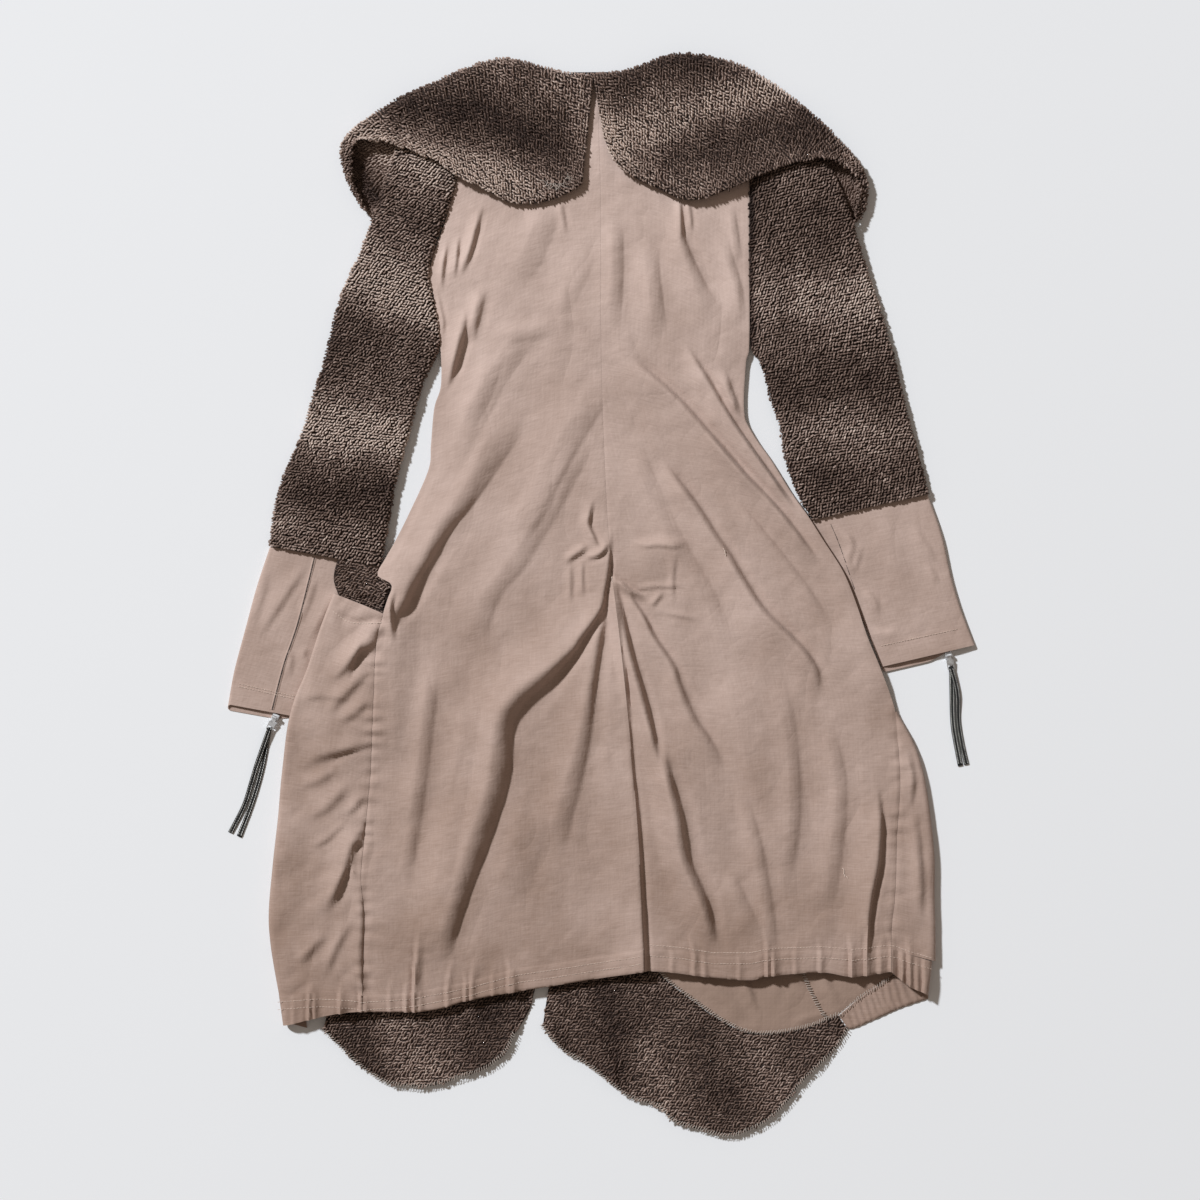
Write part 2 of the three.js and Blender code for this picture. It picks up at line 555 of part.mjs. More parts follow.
// Each half of the collar is one knit leaf. It runs from its free edge over the shoulder to the fold, turns under,
// and lies on the surface below the sleeve head. Columns: fold, free edge, hidden end, height of the leaf.
const lip = 10;
const collarRows = {
  left: [
    { fold: [-10, 623], free: [-22, 493], end: [-12, 594], height: 14.5 },
    { fold: [-42, 624], free: [-46, 476], end: [-42, 582], height: 15 },
    { fold: [-84, 635], free: [-78, 467], end: [-82, 588], height: 15.5 },
    { fold: [-120, 641], free: [-110, 469], end: [-114, 584], height: 16 },
    { fold: [-162, 629], free: [-140, 485], end: [-154, 576], height: 17 },
    { fold: [-202, 611], free: [-172, 500], end: [-186, 560], height: collarLeafHeight },
    { fold: [-238, 595], free: [-204, 521], end: [-210, 546], height: collarLeafHeight },
    { fold: [-272, 574], free: [-236, 534], end: [-226, 528], height: collarLeafHeight },
    { fold: [-296, 556], free: [-266, 542], end: [-230, 510], height: collarLeafHeight },
    { fold: [-310, 534], free: [-293, 538], end: [-234, 492], height: 16 },
    { fold: [-306, 508], free: null, end: [-240, 468], height: 13 },
    { fold: [-298, 488], free: null, end: [-246, 444], height: 10 },
    { fold: [-287, 468], free: null, end: [-258, 428], height: 8 },
  ],
  right: [
    { fold: [-6, 623], free: [5, 544], end: [-4, 594], height: 14.5 },
    { fold: [14, 624], free: [19, 515], end: [14, 582], height: 15 },
    { fold: [44, 631], free: [44, 496], end: [44, 588], height: 15.5 },
    { fold: [72, 642], free: [68, 485], end: [72, 588], height: 15.5 },
    { fold: [96, 647], free: [96, 472], end: [98, 588], height: 16 },
    { fold: [126, 644], free: [120, 472], end: [126, 584], height: 16.5 },
    { fold: [162, 635], free: [146, 481], end: [156, 572], height: 17 },
    { fold: [198, 616], free: [175, 493], end: [182, 558], height: collarLeafHeight },
    { fold: [234, 590], free: [210, 508], end: [204, 544], height: collarLeafHeight },
    { fold: [266, 563], free: [240, 517], end: [222, 532], height: collarLeafHeight },
    { fold: [294, 534], free: [270, 520], end: [240, 510], height: collarLeafHeight },
    { fold: [312, 510], free: [296, 508], end: [246, 486], height: 16 },
    { fold: [319, 490], free: null, end: [250, 468], height: 13 },
    { fold: [317, 470], free: null, end: [258, 448], height: 10 },
    { fold: [312, 452], free: null, end: [282, 426], height: 8 },
  ],
};
const leafSteps = 6;
function collarHalf(rows) {
  return turnedSheet(rows.map(({ fold, free, end, height }) => {
    const start = free ?? mixPoint(fold, end, lip / Math.hypot(end[0] - fold[0], end[1] - fold[1]));
    return {
      run: Array.from({ length: leafSteps + 1 }, (_, j) => mixPoint(start, fold, j / leafSteps)),
      height: () => height,
      low: knitWall / 2,
      end,
    };
  }), knitWall);
}
add("collar_left", collarHalf(collarRows.left), "knit");
add("collar_right", collarHalf(collarRows.right), "knit");

// Joins and cuts for the metal pieces.
function solid(geometry, matrix = new THREE.Matrix4()) {
  const shape = geometry.clone().applyMatrix4(matrix);
  shape.deleteAttribute("normal");
  shape.deleteAttribute("uv");
  const merged = mergeVertices(shape, 1e-4);
  return new wasm.Manifold(new wasm.Mesh({
    numProp: 3,
    vertProperties: merged.attributes.position.array,
    triVerts: new Uint32Array(merged.index.array),
  }));
}
function geometryOf(shape) {
  const made = shape.getMesh();
  const geometry = new THREE.BufferGeometry();
  geometry.setAttribute("position", new THREE.Float32BufferAttribute(made.vertProperties, 3));
  geometry.setIndex(Array.from(made.triVerts));
  return geometry;
}
const box = (sx, sy, sz, x, y, z) => solid(new THREE.BoxGeometry(sx, sy, sz), new THREE.Matrix4().makeTranslation(x, y, z));
const rod = (radius, length, x, z) => solid(new THREE.CylinderGeometry(radius, radius, length, 16),
  new THREE.Matrix4().makeTranslation(x, 0, z));

// The zip slider, its swinging tab and the leather strap looped through the tab.
// In the slider's own frame +X is the way the strap runs, Y is across and Z is up.
const slider = { length: 8, width: 8, thickness: 4.4, barHeight: 7.4, barRadius: 0.7, postWidth: 1.2, postAt: 3.3 };
const tab = { length: 18, neck: 5, neckWidth: 4.6, width: 8.4, thickness: 1.4, eye: 1.9, hole: 1.1, tilt: 14, bar: 1.5 };
const slot = { length: 4.4, width: 6.4 };
const strap = { loopWidth: 5.4, width: 6, thickness: 1.9, loop: 2.15 };
function sliderGeometry() {
  const body = box(slider.length, slider.width, slider.thickness, 0, 0, slider.thickness / 2);
  const post = (side) => box(3, slider.postWidth, slider.barHeight + 0.8 - slider.thickness + 1,
    0, side * slider.postAt, (slider.barHeight + 0.8 + slider.thickness - 1) / 2);
  return geometryOf(body.add(post(1)).add(post(-1)).add(rod(slider.barRadius, 2 * slider.postAt, 0, slider.barHeight)));
}
function tabGeometry() {
  const plate = new THREE.Shape([
    [0, tab.neckWidth / 2], [tab.neck, tab.neckWidth / 2], [tab.neck + 2, tab.width / 2], [tab.length - 1, tab.width / 2],
    [tab.length, tab.width / 2 - 1], [tab.length, 1 - tab.width / 2], [tab.length - 1, -tab.width / 2],
    [tab.neck + 2, -tab.width / 2], [tab.neck, -tab.neckWidth / 2], [0, -tab.neckWidth / 2],
  ].map(([x, y]) => new THREE.Vector2(x, y)));
  const extruded = new THREE.ExtrudeGeometry(plate, { depth: tab.thickness, bevelEnabled: false });
  const sheet = solid(extruded, new THREE.Matrix4().makeTranslation(0, 0, -tab.thickness / 2));
  const eye = rod(tab.eye, tab.neckWidth, 0, 0);
  const hole = rod(tab.hole, tab.neckWidth + 2, 0, 0);
  const cutOut = box(slot.length, slot.width, 4, tab.length - tab.bar - slot.length / 2, 0, 0);
  return geometryOf(sheet.add(eye).subtract(hole).subtract(cutOut));
}
// A flat strip along 3-D points. Each has the way across it there and its width.
function strip(stations, thickness) {
  const points = [];
  stations.forEach(({ point, across, width }, i) => {
    const before = new THREE.Vector3(...stations[Math.max(0, i - 1)].point);
    const after = new THREE.Vector3(...stations[Math.min(stations.length - 1, i + 1)].point);
    const side = new THREE.Vector3(...across).normalize();
    const up = side.clone().cross(after.sub(before).normalize()).normalize();
    [[-1, -0.4], [-0.8, -1], [0.8, -1], [1, -0.4], [1, 0.4], [0.8, 1], [-0.8, 1], [-1, 0.4]].forEach(([s, t]) =>
      points.push(new THREE.Vector3(...point).addScaledVector(side, (s * width) / 2)
        .addScaledVector(up, (t * thickness) / 2).toArray()));
  });
  const corners = 8;
  const last = (stations.length - 1) * corners;
  const index = [];
  for (let i = 0; i < stations.length - 1; i++) {
    for (let j = 0; j < corners; j++) {
      const [a, b] = [i * corners + j, i * corners + ((j + 1) % corners)];
      index.push(a, b, b + corners, a, b + corners, a + corners);
    }
  }
  for (let j = 1; j < corners - 1; j++) index.push(0, j + 1, j, last, last + j, last + j + 1);
  return closedGeometry(points, index);
}
// Each strap is doubled through the tab. Columns of its rows: the middle of the two strands, how far apart the strands'
// middles are, and how high the upper strand lies over the lower one.
const pulls = [
  { side: "left", at: [-389.9, -146.6], turn: -116, over: 1,
    rows: [
      { x: -405, y: -190.5, spread: 4.6, lift: 2.1 }, { x: -409.5, y: -207, spread: 6.6, lift: 2.1 },
      { x: -415.5, y: -228, spread: 7.6, lift: 0 }, { x: -424, y: -254.5, spread: 7.6, lift: 0 },
      { x: -438.7, y: -287.5, spread: 11.5, lift: 0 },
    ] },
  { side: "right", at: [417, -72.3], turn: -78, over: -1,
    rows: [
      { x: 423.8, y: -108, spread: 4.6, lift: 2.1 }, { x: 425, y: -122.5, spread: 6.5, lift: 2.1 },
      { x: 425.6, y: -145, spread: 6.7, lift: 0 }, { x: 427, y: -161, spread: 6.7, lift: 0 },
      { x: 430.8, y: -182.5, spread: 6.8, lift: 0 }, { x: 435.4, y: -204, spread: 7.6, lift: 0 },
    ] },
];
pulls.forEach(({ side, at, turn, over, rows }) => {
  const heading = THREE.MathUtils.degToRad(turn);
  const tilt = THREE.MathUtils.degToRad(tab.tilt);
  const along = [Math.cos(heading), Math.sin(heading)];
  const frame = new THREE.Group();
  frame.position.set(at[0], at[1], 0);
  frame.rotation.z = heading;
  coat.add(frame);
  add("zip_slider_" + side, sliderGeometry(), "metal", frame);
  const swing = new THREE.Group();
  swing.position.z = slider.barHeight;
  swing.rotation.y = tilt;
  frame.add(swing);
  add("pull_tab_" + side, tabGeometry(), "metal", swing);

  const barAt = tab.length - tab.bar / 2;
  const barX = Math.cos(tilt) * barAt;
  const barZ = slider.barHeight - Math.sin(tilt) * barAt;
  const low = strap.thickness / 2 + 0.05;
  const loop = [60, 90, 120, 150, 180, 210, 240, 270, 290].map((degrees) => {
    const a = THREE.MathUtils.degToRad(degrees);
    const x = barX + strap.loop * Math.cos(a);
    return {
      point: [at[0] + along[0] * x, at[1] + along[1] * x, Math.max(low, barZ + strap.loop * Math.sin(a))],
      across: [-along[1], along[0], 0],
      width: strap.loopWidth,
    };
  });
  const strand = (way, upper) => rows.map((row, i) => {
    const [a, b] = [rows[Math.max(0, i - 1)], rows[Math.min(rows.length - 1, i + 1)]];
    const length = Math.hypot(b.x - a.x, b.y - a.y);
    const across = [-(b.y - a.y) / length, (b.x - a.x) / length, 0];
    const shift = (way * row.spread) / 2;
    return {
      point: [row.x + across[0] * shift, row.y + across[1] * shift, low + (upper ? row.lift : 0)],
      across,
      width: strap.width,
    };
  });
  add("pull_strap_" + side, strip([...strand(-over, true).reverse(), ...loop, ...strand(over, false)], strap.thickness),
    "leather");
});

// The tape at the back of the neck shows past the collar's fold.
const tapeEnds = [{ x: -36, y: 623.8 }, { x: 10, y: 624 }];
const tapeThickness = 1.3;
const tapeEdge = (shift) => tapeEnds.map(({ x, y }) => [x, y + shift]);
add("neck_tape", panel(patch({
  left: [tapeEdge(tapeThickness)[0], tapeEdge(0)[0]],
  right: [tapeEdge(tapeThickness)[1], tapeEdge(0)[1]],
  top: tapeEdge(tapeThickness),
  bottom: tapeEdge(0),
}, 4, 1), () => 6, 5), "tape");

export default coat;
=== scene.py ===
# %% [markdown]
# # A knit and cotton coat, laid flat
# The coat lies on its front, and the camera looks straight down on its back. The back, sides and cuffs are
# woven cotton. The sleeves, the wide collar, the fronts and a pocket facing are thick, space-dyed knit. The
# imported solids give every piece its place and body. Here each piece of cloth is made again as a finer shell
# on the same form, and the sewing, knit loops and folds are added to it.

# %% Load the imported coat
import json
import bpy
import numpy as np
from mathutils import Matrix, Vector
from mathutils.geometry import delaunay_2d_cdt

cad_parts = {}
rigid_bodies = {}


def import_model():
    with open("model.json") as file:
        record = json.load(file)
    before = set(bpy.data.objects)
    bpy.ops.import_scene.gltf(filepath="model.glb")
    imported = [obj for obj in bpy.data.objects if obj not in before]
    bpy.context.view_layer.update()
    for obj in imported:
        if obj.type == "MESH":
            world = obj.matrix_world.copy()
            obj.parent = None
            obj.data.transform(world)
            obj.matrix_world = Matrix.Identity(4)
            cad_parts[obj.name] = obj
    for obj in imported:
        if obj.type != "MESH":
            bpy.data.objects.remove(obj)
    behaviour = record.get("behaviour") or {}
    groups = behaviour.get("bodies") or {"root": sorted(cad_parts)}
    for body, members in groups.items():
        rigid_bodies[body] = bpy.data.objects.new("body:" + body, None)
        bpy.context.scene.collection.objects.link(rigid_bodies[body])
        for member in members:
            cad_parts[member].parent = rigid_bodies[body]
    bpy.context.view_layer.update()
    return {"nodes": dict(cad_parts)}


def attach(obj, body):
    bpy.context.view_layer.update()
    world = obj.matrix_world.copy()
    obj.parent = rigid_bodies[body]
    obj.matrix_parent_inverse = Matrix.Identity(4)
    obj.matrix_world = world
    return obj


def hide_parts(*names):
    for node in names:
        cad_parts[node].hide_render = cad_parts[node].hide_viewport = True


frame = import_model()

MM = 0.001

# %% [markdown]
# ## Camera, floor and light
# A long lens far above keeps the outline free of perspective. One firm light from the upper left draws the
# folds and drops short shadows to the lower right. A warm, weak surround fills them.

# %% Camera
PHOTO_WIDTH = 1.44   # metres of floor across the square picture
CAMERA_HEIGHT, SENSOR = 3.0, 36
camera_data = bpy.data.cameras.new("camera")
camera_data.sensor_width = SENSOR
camera_data.lens = SENSOR * CAMERA_HEIGHT / PHOTO_WIDTH
camera = bpy.data.objects.new("camera", camera_data)
camera.location = (-0.0006, -0.006, CAMERA_HEIGHT)
bpy.context.collection.objects.link(camera)
bpy.context.scene.camera = camera

# %% Light and surround
KEY_AT, KEY_WATTS, KEY_WIDTH, KEY_COLOUR = Vector((-18.0, 16.8, 20.4)), 11700, 2.4, (0.95, 1.0, 1.05)
FILL, FILL_STRENGTH, PAPER = (1.0, 0.87, 0.75, 1), 0.235, (0.84, 0.84, 0.85, 1)
key_data = bpy.data.lights.new("key", "AREA")
key_data.energy = KEY_WATTS
key_data.size = KEY_WIDTH
key_data.color = KEY_COLOUR
key = bpy.data.objects.new("key", key_data)
key.location = KEY_AT
key.rotation_euler = KEY_AT.to_track_quat("Z", "Y").to_euler()
bpy.context.collection.objects.link(key)

world = bpy.data.worlds.new("surround")
world.use_nodes = True
surround = world.node_tree
fill = surround.nodes["Background"]
fill.inputs["Color"].default_value = FILL
fill.inputs["Strength"].default_value = FILL_STRENGTH
# Past the end of the floor the camera sees paper too, while the light from all round stays as it is.
backdrop = surround.nodes.new("ShaderNodeBackground")
backdrop.inputs["Color"].default_value = PAPER
light_path = surround.nodes.new("ShaderNodeLightPath")
seen_or_lit = surround.nodes.new("ShaderNodeMixShader")
surround.links.new(light_path.outputs["Is Camera Ray"], seen_or_lit.inputs[0])
surround.links.new(fill.outputs[0], seen_or_lit.inputs[1])
surround.links.new(backdrop.outputs[0], seen_or_lit.inputs[2])
surround.links.new(seen_or_lit.outputs[0], surround.nodes["World Output"].inputs["Surface"])
bpy.context.scene.world = world
bpy.context.scene.view_settings.view_transform = "Standard"
print("light", KEY_WATTS, "W from", tuple(KEY_AT))

# %% [markdown]
# ## Small shader language
# Every finish below is a node tree. One helper makes a node, sets its plain values and links its sockets,
# so that a material reads as a short list. Effects that several finishes share are node groups.

# %% Node helper
def node(tree, kind, inputs=None, **settings):
    made = tree.nodes.new(kind)
    for name, value in settings.items():
        setattr(made, name, value)
    for name, value in (inputs or {}).items():
        if isinstance(value, bpy.types.NodeSocket):
            tree.links.new(value, made.inputs[name])
        else:
            made.inputs[name].default_value = value
    return made


def math(tree, operation, first, second=0.0):
    return node(tree, "ShaderNodeMath", {0: first, 1: second}, operation=operation).outputs[0]


def ramp(tree, factor, stops):
    made = node(tree, "ShaderNodeValToRGB", {"Fac": factor})
    bar = made.color_ramp
    while len(bar.elements) < len(stops):
        bar.elements.new(0.5)
    for element, (at, colour) in zip(bar.elements, stops):
        element.position = at
        element.color = (*colour, 1)
    return made.outputs["Color"]


def srgb(red, green, blue):
    """A given colour, as the linear values that a shader wants."""
    linear = lambda c: c / 255 / 12.92 if c < 10.3 else ((c / 255 + 0.055) / 1.055) ** 2.4
    return tuple(linear(c) for c in (red, green, blue))


# %% Shared groups: uneven dye, woven threads and creases
def new_group(name, inputs, outputs):
    group = bpy.data.node_groups.new(name, "ShaderNodeTree")
    for label, kind, value in inputs:
        socket = group.interface.new_socket(label, in_out="INPUT", socket_type=kind)
        if value is not None:
            socket.default_value = value
    for label, kind in outputs:
        group.interface.new_socket(label, in_out="OUTPUT", socket_type=kind)
    return group, group.nodes.new("NodeGroupInput").outputs, group.nodes.new("NodeGroupOutput").inputs


def dye_group():
    """Soft patches at one size with finer ones inside them, from 0 to 1."""
    group, given, out = new_group("uneven dye", [
        ("Place", "NodeSocketVector", None), ("Patches per metre", "NodeSocketFloat", 12.0)],
        [("Value", "NodeSocketFloat")])
    noise = node(group, "ShaderNodeTexNoise", {"Vector": given["Place"], "Scale": given["Patches per metre"],
                                               "Detail": 4.0, "Roughness": 0.55})
    group.links.new(noise.outputs["Fac"], out["Value"])
    return group


def thread_group():
    """Height of a plain weave whose threads thicken and thin, with the thick places as a mask."""
    group, given, out = new_group("woven threads", [
        ("Place", "NodeSocketVector", None), ("Threads per metre", "NodeSocketFloat", 1100.0)],
        [("Height", "NodeSocketFloat"), ("Slubs", "NodeSocketFloat")])
    sides = []
    for stretch in ((1.0, 18.0, 1.0), (18.0, 1.0, 1.0)):
        scaled = node(group, "ShaderNodeVectorMath", {0: given["Place"], 1: stretch}, operation="MULTIPLY")
        sides.append(node(group, "ShaderNodeTexNoise", {"Vector": scaled.outputs[0], "Scale": 55.0,
                                                        "Detail": 2.0}).outputs["Fac"])
    threads = math(group, "MULTIPLY", given["Threads per metre"], 0.5)
    waves = [node(group, "ShaderNodeTexWave", {"Vector": given["Place"],
                                               "Scale": math(group, "MULTIPLY", threads, 0.1),
                                               "Distortion": 0.6}, bands_direction=way).outputs["Fac"]
             for way in ("X", "Y")]
    weave = math(group, "MULTIPLY", waves[0], waves[1])
    slubs = math(group, "ADD", math(group, "MULTIPLY", sides[0], 0.65),
                 math(group, "MULTIPLY", sides[1], 0.35))
    group.links.new(math(group, "ADD", math(group, "MULTIPLY", weave, 0.35), slubs), out["Height"])
    group.links.new(slubs, out["Slubs"])
    return group


def crease_group():
    """Sharp shallow valleys between soft plates, in two sizes. The height is in metres."""
    group, given, out = new_group("creases", [("Place", "NodeSocketVector", None),
                                              ("Depth", "NodeSocketFloat", 0.004)],
                                  [("Height", "NodeSocketFloat")])
    total = None
    for scale, stretch, share in ((16.0, (1.0, 0.55, 1.0), 1.0), (42.0, (0.7, 1.0, 1.0), 0.3),
                                  (95.0, (1.0, 0.8, 1.0), 0.1)):
        placed = node(group, "ShaderNodeVectorMath", {0: given["Place"], 1: stretch},
                      operation="MULTIPLY").outputs[0]
        noise = node(group, "ShaderNodeTexNoise", {"Vector": placed, "Scale": scale, "Detail": 1.5,
                                                   "Distortion": 0.4})
        valley = math(group, "ABSOLUTE", math(group, "SUBTRACT", noise.outputs["Fac"], 0.5))
        part = math(group, "MULTIPLY", valley, share)
        total = part if total is None else math(group, "ADD", total, part)
    group.links.new(math(group, "MULTIPLY", total, given["Depth"]), out["Height"])
    return group


DYE, THREADS, CREASES = dye_group(), thread_group(), crease_group()
print("shared groups", [group.name for group in (DYE, THREADS, CREASES)])


# %% Materials
def material(name, roughness, **constants):
    made = bpy.data.materials.new(name)
    made.use_nodes = True
    tree = made.node_tree
    shader = tree.nodes["Principled BSDF"]
    shader.inputs["Roughness"].default_value = roughness
    for label, value in constants.items():
        shader.inputs[label.replace("_", " ")].default_value = value
    return made, tree, shader


def bump(tree, shader, height, distance, strength=1.0):
    made = node(tree, "ShaderNodeBump", {"Height": height, "Distance": distance, "Strength": strength})
    tree.links.new(made.outputs["Normal"], shader.inputs["Normal"])


def group_node(tree, group, **inputs):
    made = tree.nodes.new("ShaderNodeGroup")
    made.node_tree = group
    for label, value in inputs.items():
        socket = made.inputs[label.replace("_", " ")]
        if isinstance(value, bpy.types.NodeSocket):
            tree.links.new(value, socket)
        else:
            socket.default_value = value
    return made.outputs


def woven(name, light, dark):
    """Matt cotton, painted lighter towards the top as painted light from the upper left: two tones in soft
    patches, creases, and threads laid on the cloth's own flat measure."""
    made, tree, shader = material(name, 0.86, Sheen_Weight=0.12, Sheen_Roughness=0.5, Specular_IOR_Level=0.25)
    flat = node(tree, "ShaderNodeAttribute", attribute_name="flat").outputs["Vector"]
    place = node(tree, "ShaderNodeTexCoord").outputs["Object"]
    patches = group_node(tree, DYE, Place=place, Patches_per_metre=9.0)["Value"]
    threads = group_node(tree, THREADS, Place=flat, Threads_per_metre=1100.0)
    # painted light: the tone rises with the object's Y, so the shoulders and chest are painted lighter than the
    # hem
    painted_top_light = math(tree, "MULTIPLY", node(tree, "ShaderNodeSeparateXYZ", {0: place}).outputs["Y"], 0.30)
    tone = math(tree, "ADD", math(tree, "MULTIPLY", patches, 0.5),
                math(tree, "MULTIPLY", threads["Slubs"], 0.35))
    colour = ramp(tree, math(tree, "ADD", tone, painted_top_light), [(0.22, dark), (0.68, light)])
    tree.links.new(colour, shader.inputs["Base Color"])
    creases = group_node(tree, CREASES, Place=place, Depth=0.0045)["Height"]
    bump(tree, shader, math(tree, "ADD", creases, math(tree, "MULTIPLY", threads["Height"], 0.0002)), 1.0)
    return made


KNIT_TONES = [(0.0, srgb(44, 34, 30)), (0.25, srgb(82, 65, 58)), (0.5, srgb(119, 99, 89)),
              (0.75, srgb(158, 136, 125)), (1.0, srgb(208, 187, 174))]


def knit(name, loops):
    """Space-dyed yarn. The mesh carries its tone; under the separate loops a plain ground is painted near
    black, as painted shade in the gaps.
    """
    made, tree, shader = material(name, 0.9, Specular_IOR_Level=0.2)
    tone = node(tree, "ShaderNodeAttribute", attribute_name="tone").outputs["Fac"]
    place = node(tree, "ShaderNodeTexCoord").outputs["Object"]
    fibres = group_node(tree, DYE, Place=place, Patches_per_metre=520.0 if loops else 260.0)["Value"]
    spread = 0.4 if loops else 0.9
    varied = math(tree, "ADD", tone, math(tree, "MULTIPLY", math(tree, "SUBTRACT", fibres, 0.5), spread))
    tree.links.new(ramp(tree, varied, KNIT_TONES), shader.inputs["Base Color"])
    cells = node(tree, "ShaderNodeTexVoronoi", {"Vector": place, "Scale": 900.0 if loops else 260.0})
    bump(tree, shader, cells.outputs["Distance"], 0.0004 if loops else 0.0022)
    return made


def thread_material(name, colour):
    made, tree, shader = material(name, 0.7, Sheen_Weight=0.2)
    place = node(tree, "ShaderNodeTexCoord").outputs["Object"]
    fine = group_node(tree, DYE, Place=place, Patches_per_metre=700.0)["Value"]
    pale = tuple(min(1, c * 1.35 + 0.01) for c in colour)
    tree.links.new(ramp(tree, fine, [(0.3, colour), (0.7, pale)]), shader.inputs["Base Color"])
    bump(tree, shader, fine, 0.0002)
    return made


def metal():
    made, tree, shader = material("nickel", 0.2, Metallic=1.0)
    place = node(tree, "ShaderNodeTexCoord").outputs["Object"]
    wear = group_node(tree, DYE, Place=place, Patches_per_metre=300.0)["Value"]
    colour = ramp(tree, wear, [(0.3, srgb(200, 200, 202)), (0.7, srgb(238, 238, 238))])
    tree.links.new(colour, shader.inputs["Base Color"])
    tree.links.new(math(tree, "MULTIPLY_ADD", wear, 0.25), shader.inputs["Roughness"])
    return made


def leather():
    made, tree, shader = material("black leather", 0.55, Specular_IOR_Level=0.25)
    place = node(tree, "ShaderNodeTexCoord").outputs["Object"]
    grain = node(tree, "ShaderNodeTexVoronoi", {"Vector": place, "Scale": 1400.0}).outputs["Distance"]
    patches = group_node(tree, DYE, Place=place, Patches_per_metre=150.0)["Value"]
    tree.links.new(ramp(tree, patches, [(0.3, srgb(9, 9, 9)), (0.75, srgb(27, 26, 26))]),
                   shader.inputs["Base Color"])
    bump(tree, shader, grain, 0.0003)
    return made


COTTON = woven("taupe cotton", srgb(206, 182, 171), srgb(151, 126, 112))
COTTON_INSIDE = woven("inside of the cotton", srgb(172, 147, 132), srgb(150, 126, 112))
KNIT_GROUND = knit("knit ground", loops=False)
KNIT_LOOPS = knit("knit loops", loops=True)
DARK_THREAD = thread_material("dark thread", srgb(46, 35, 30))
TAUPE_THREAD = thread_material("taupe thread", srgb(206, 186, 172))
OVERLOCK_THREAD = thread_material("overlock thread", srgb(176, 164, 154))
PALE_THREAD = thread_material("pale thread", srgb(186, 184, 178))
TAPE = thread_material("dark tape", srgb(34, 27, 25))
NICKEL, LEATHER = metal(), leather()

# %% Floor
floor_mesh = bpy.data.meshes.new("floor")
FLOOR = 14.0   # metres from the middle to each side
corners = [(-FLOOR, -FLOOR, 0), (FLOOR, -FLOOR, 0), (FLOOR, FLOOR, 0), (-FLOOR, FLOOR, 0)]
floor_mesh.from_pydata(corners, [], [(0, 1, 2, 3)])
floor = bpy.data.objects.new("floor", floor_mesh)
bpy.context.collection.objects.link(floor)
floor_material, _, floor_shader = material("floor paper", 0.95, Specular_IOR_Level=0.1)
floor_shader.inputs["Base Color"].default_value = PAPER
floor_mesh.materials.append(floor_material)

# %% [markdown]
# ## Curves, patches and height
# The tables are in millimetres, like a paper pattern. A few points make an outline, a curve runs through
# them, and four outlines make a grid for one panel. The back's height over the floor is one function, so
# that panels which meet at a seam stay matched. Folds raise it: the cloth climbs slowly on the lit side and
# drops fast on the other.


# %% Curves and patches
def distance_along(points):
    """How far along a line of points each one lies."""
    return np.concatenate([[0], np.cumsum(np.linalg.norm(np.diff(points, axis=0), axis=1))])


def curve(points, steps):
    """steps + 1 evenly spaced points on a smooth curve through the table's points."""
    p = np.asarray(points, float)
    ends = np.vstack([p[:1], p, p[-1:]])
    t = np.linspace(0, 1, 13)[:-1, None]
    runs = [0.5 * (2 * b + (c - a) * t + (2 * a - 5 * b + 4 * c - d) * t**2 + (3 * b - a - 3 * c + d) * t**3)
            for a, b, c, d in zip(ends, ends[1:], ends[2:], ends[3:])]
    fine = np.vstack(runs + [p[-1:]])
    along = distance_along(fine)
    at = np.linspace(0, along[-1], steps + 1)
    return np.stack([np.interp(at, along, fine[:, k]) for k in range(p.shape[1])], axis=1)


def patch(left, right, top, bottom, columns, rows):
    """A grid of points between four outlines: rows from top to bottom, columns from left to right."""
    left, right = curve(left, rows), curve(right, rows)
    top, bottom = curve(top, columns), curve(bottom, columns)
    v = np.linspace(0, 1, rows + 1)[:, None, None]
    u = np.linspace(0, 1, columns + 1)[None, :, None]
    return ((1 - v) * top[None] + v * bottom[None] + (1 - u) * left[:, None] + u * right[:, None]
            - (1 - u) * (1 - v) * top[0] - u * (1 - v) * top[-1] - (1 - u) * v * bottom[0] - u * v * bottom[-1])


def ease(t):
    t = np.clip(t, 0, 1)
    return t * t * (3 - 2 * t)


def moved(points, dx, dy):
    return [(x + dx, y + dy) for x, y in points]


def cloth_noise(x, y, size, seed):
    """Smooth random relief from -1 to 1, in patches of about the given size."""
    u, v = np.asarray(x, float) / size + 500, np.asarray(y, float) / size + 500
    i, j = np.floor(u).astype(int), np.floor(v).astype(int)
    fu, fv = ease(u - i), ease(v - j)
    table = np.random.default_rng(seed).uniform(-1, 1, (256, 256))
    pick = lambda a, b: table[a % 256, b % 256]
    return ((1 - fu) * ((1 - fv) * pick(i, j) + fv * pick(i, j + 1))
            + fu * ((1 - fv) * pick(i + 1, j) + fv * pick(i + 1, j + 1)))


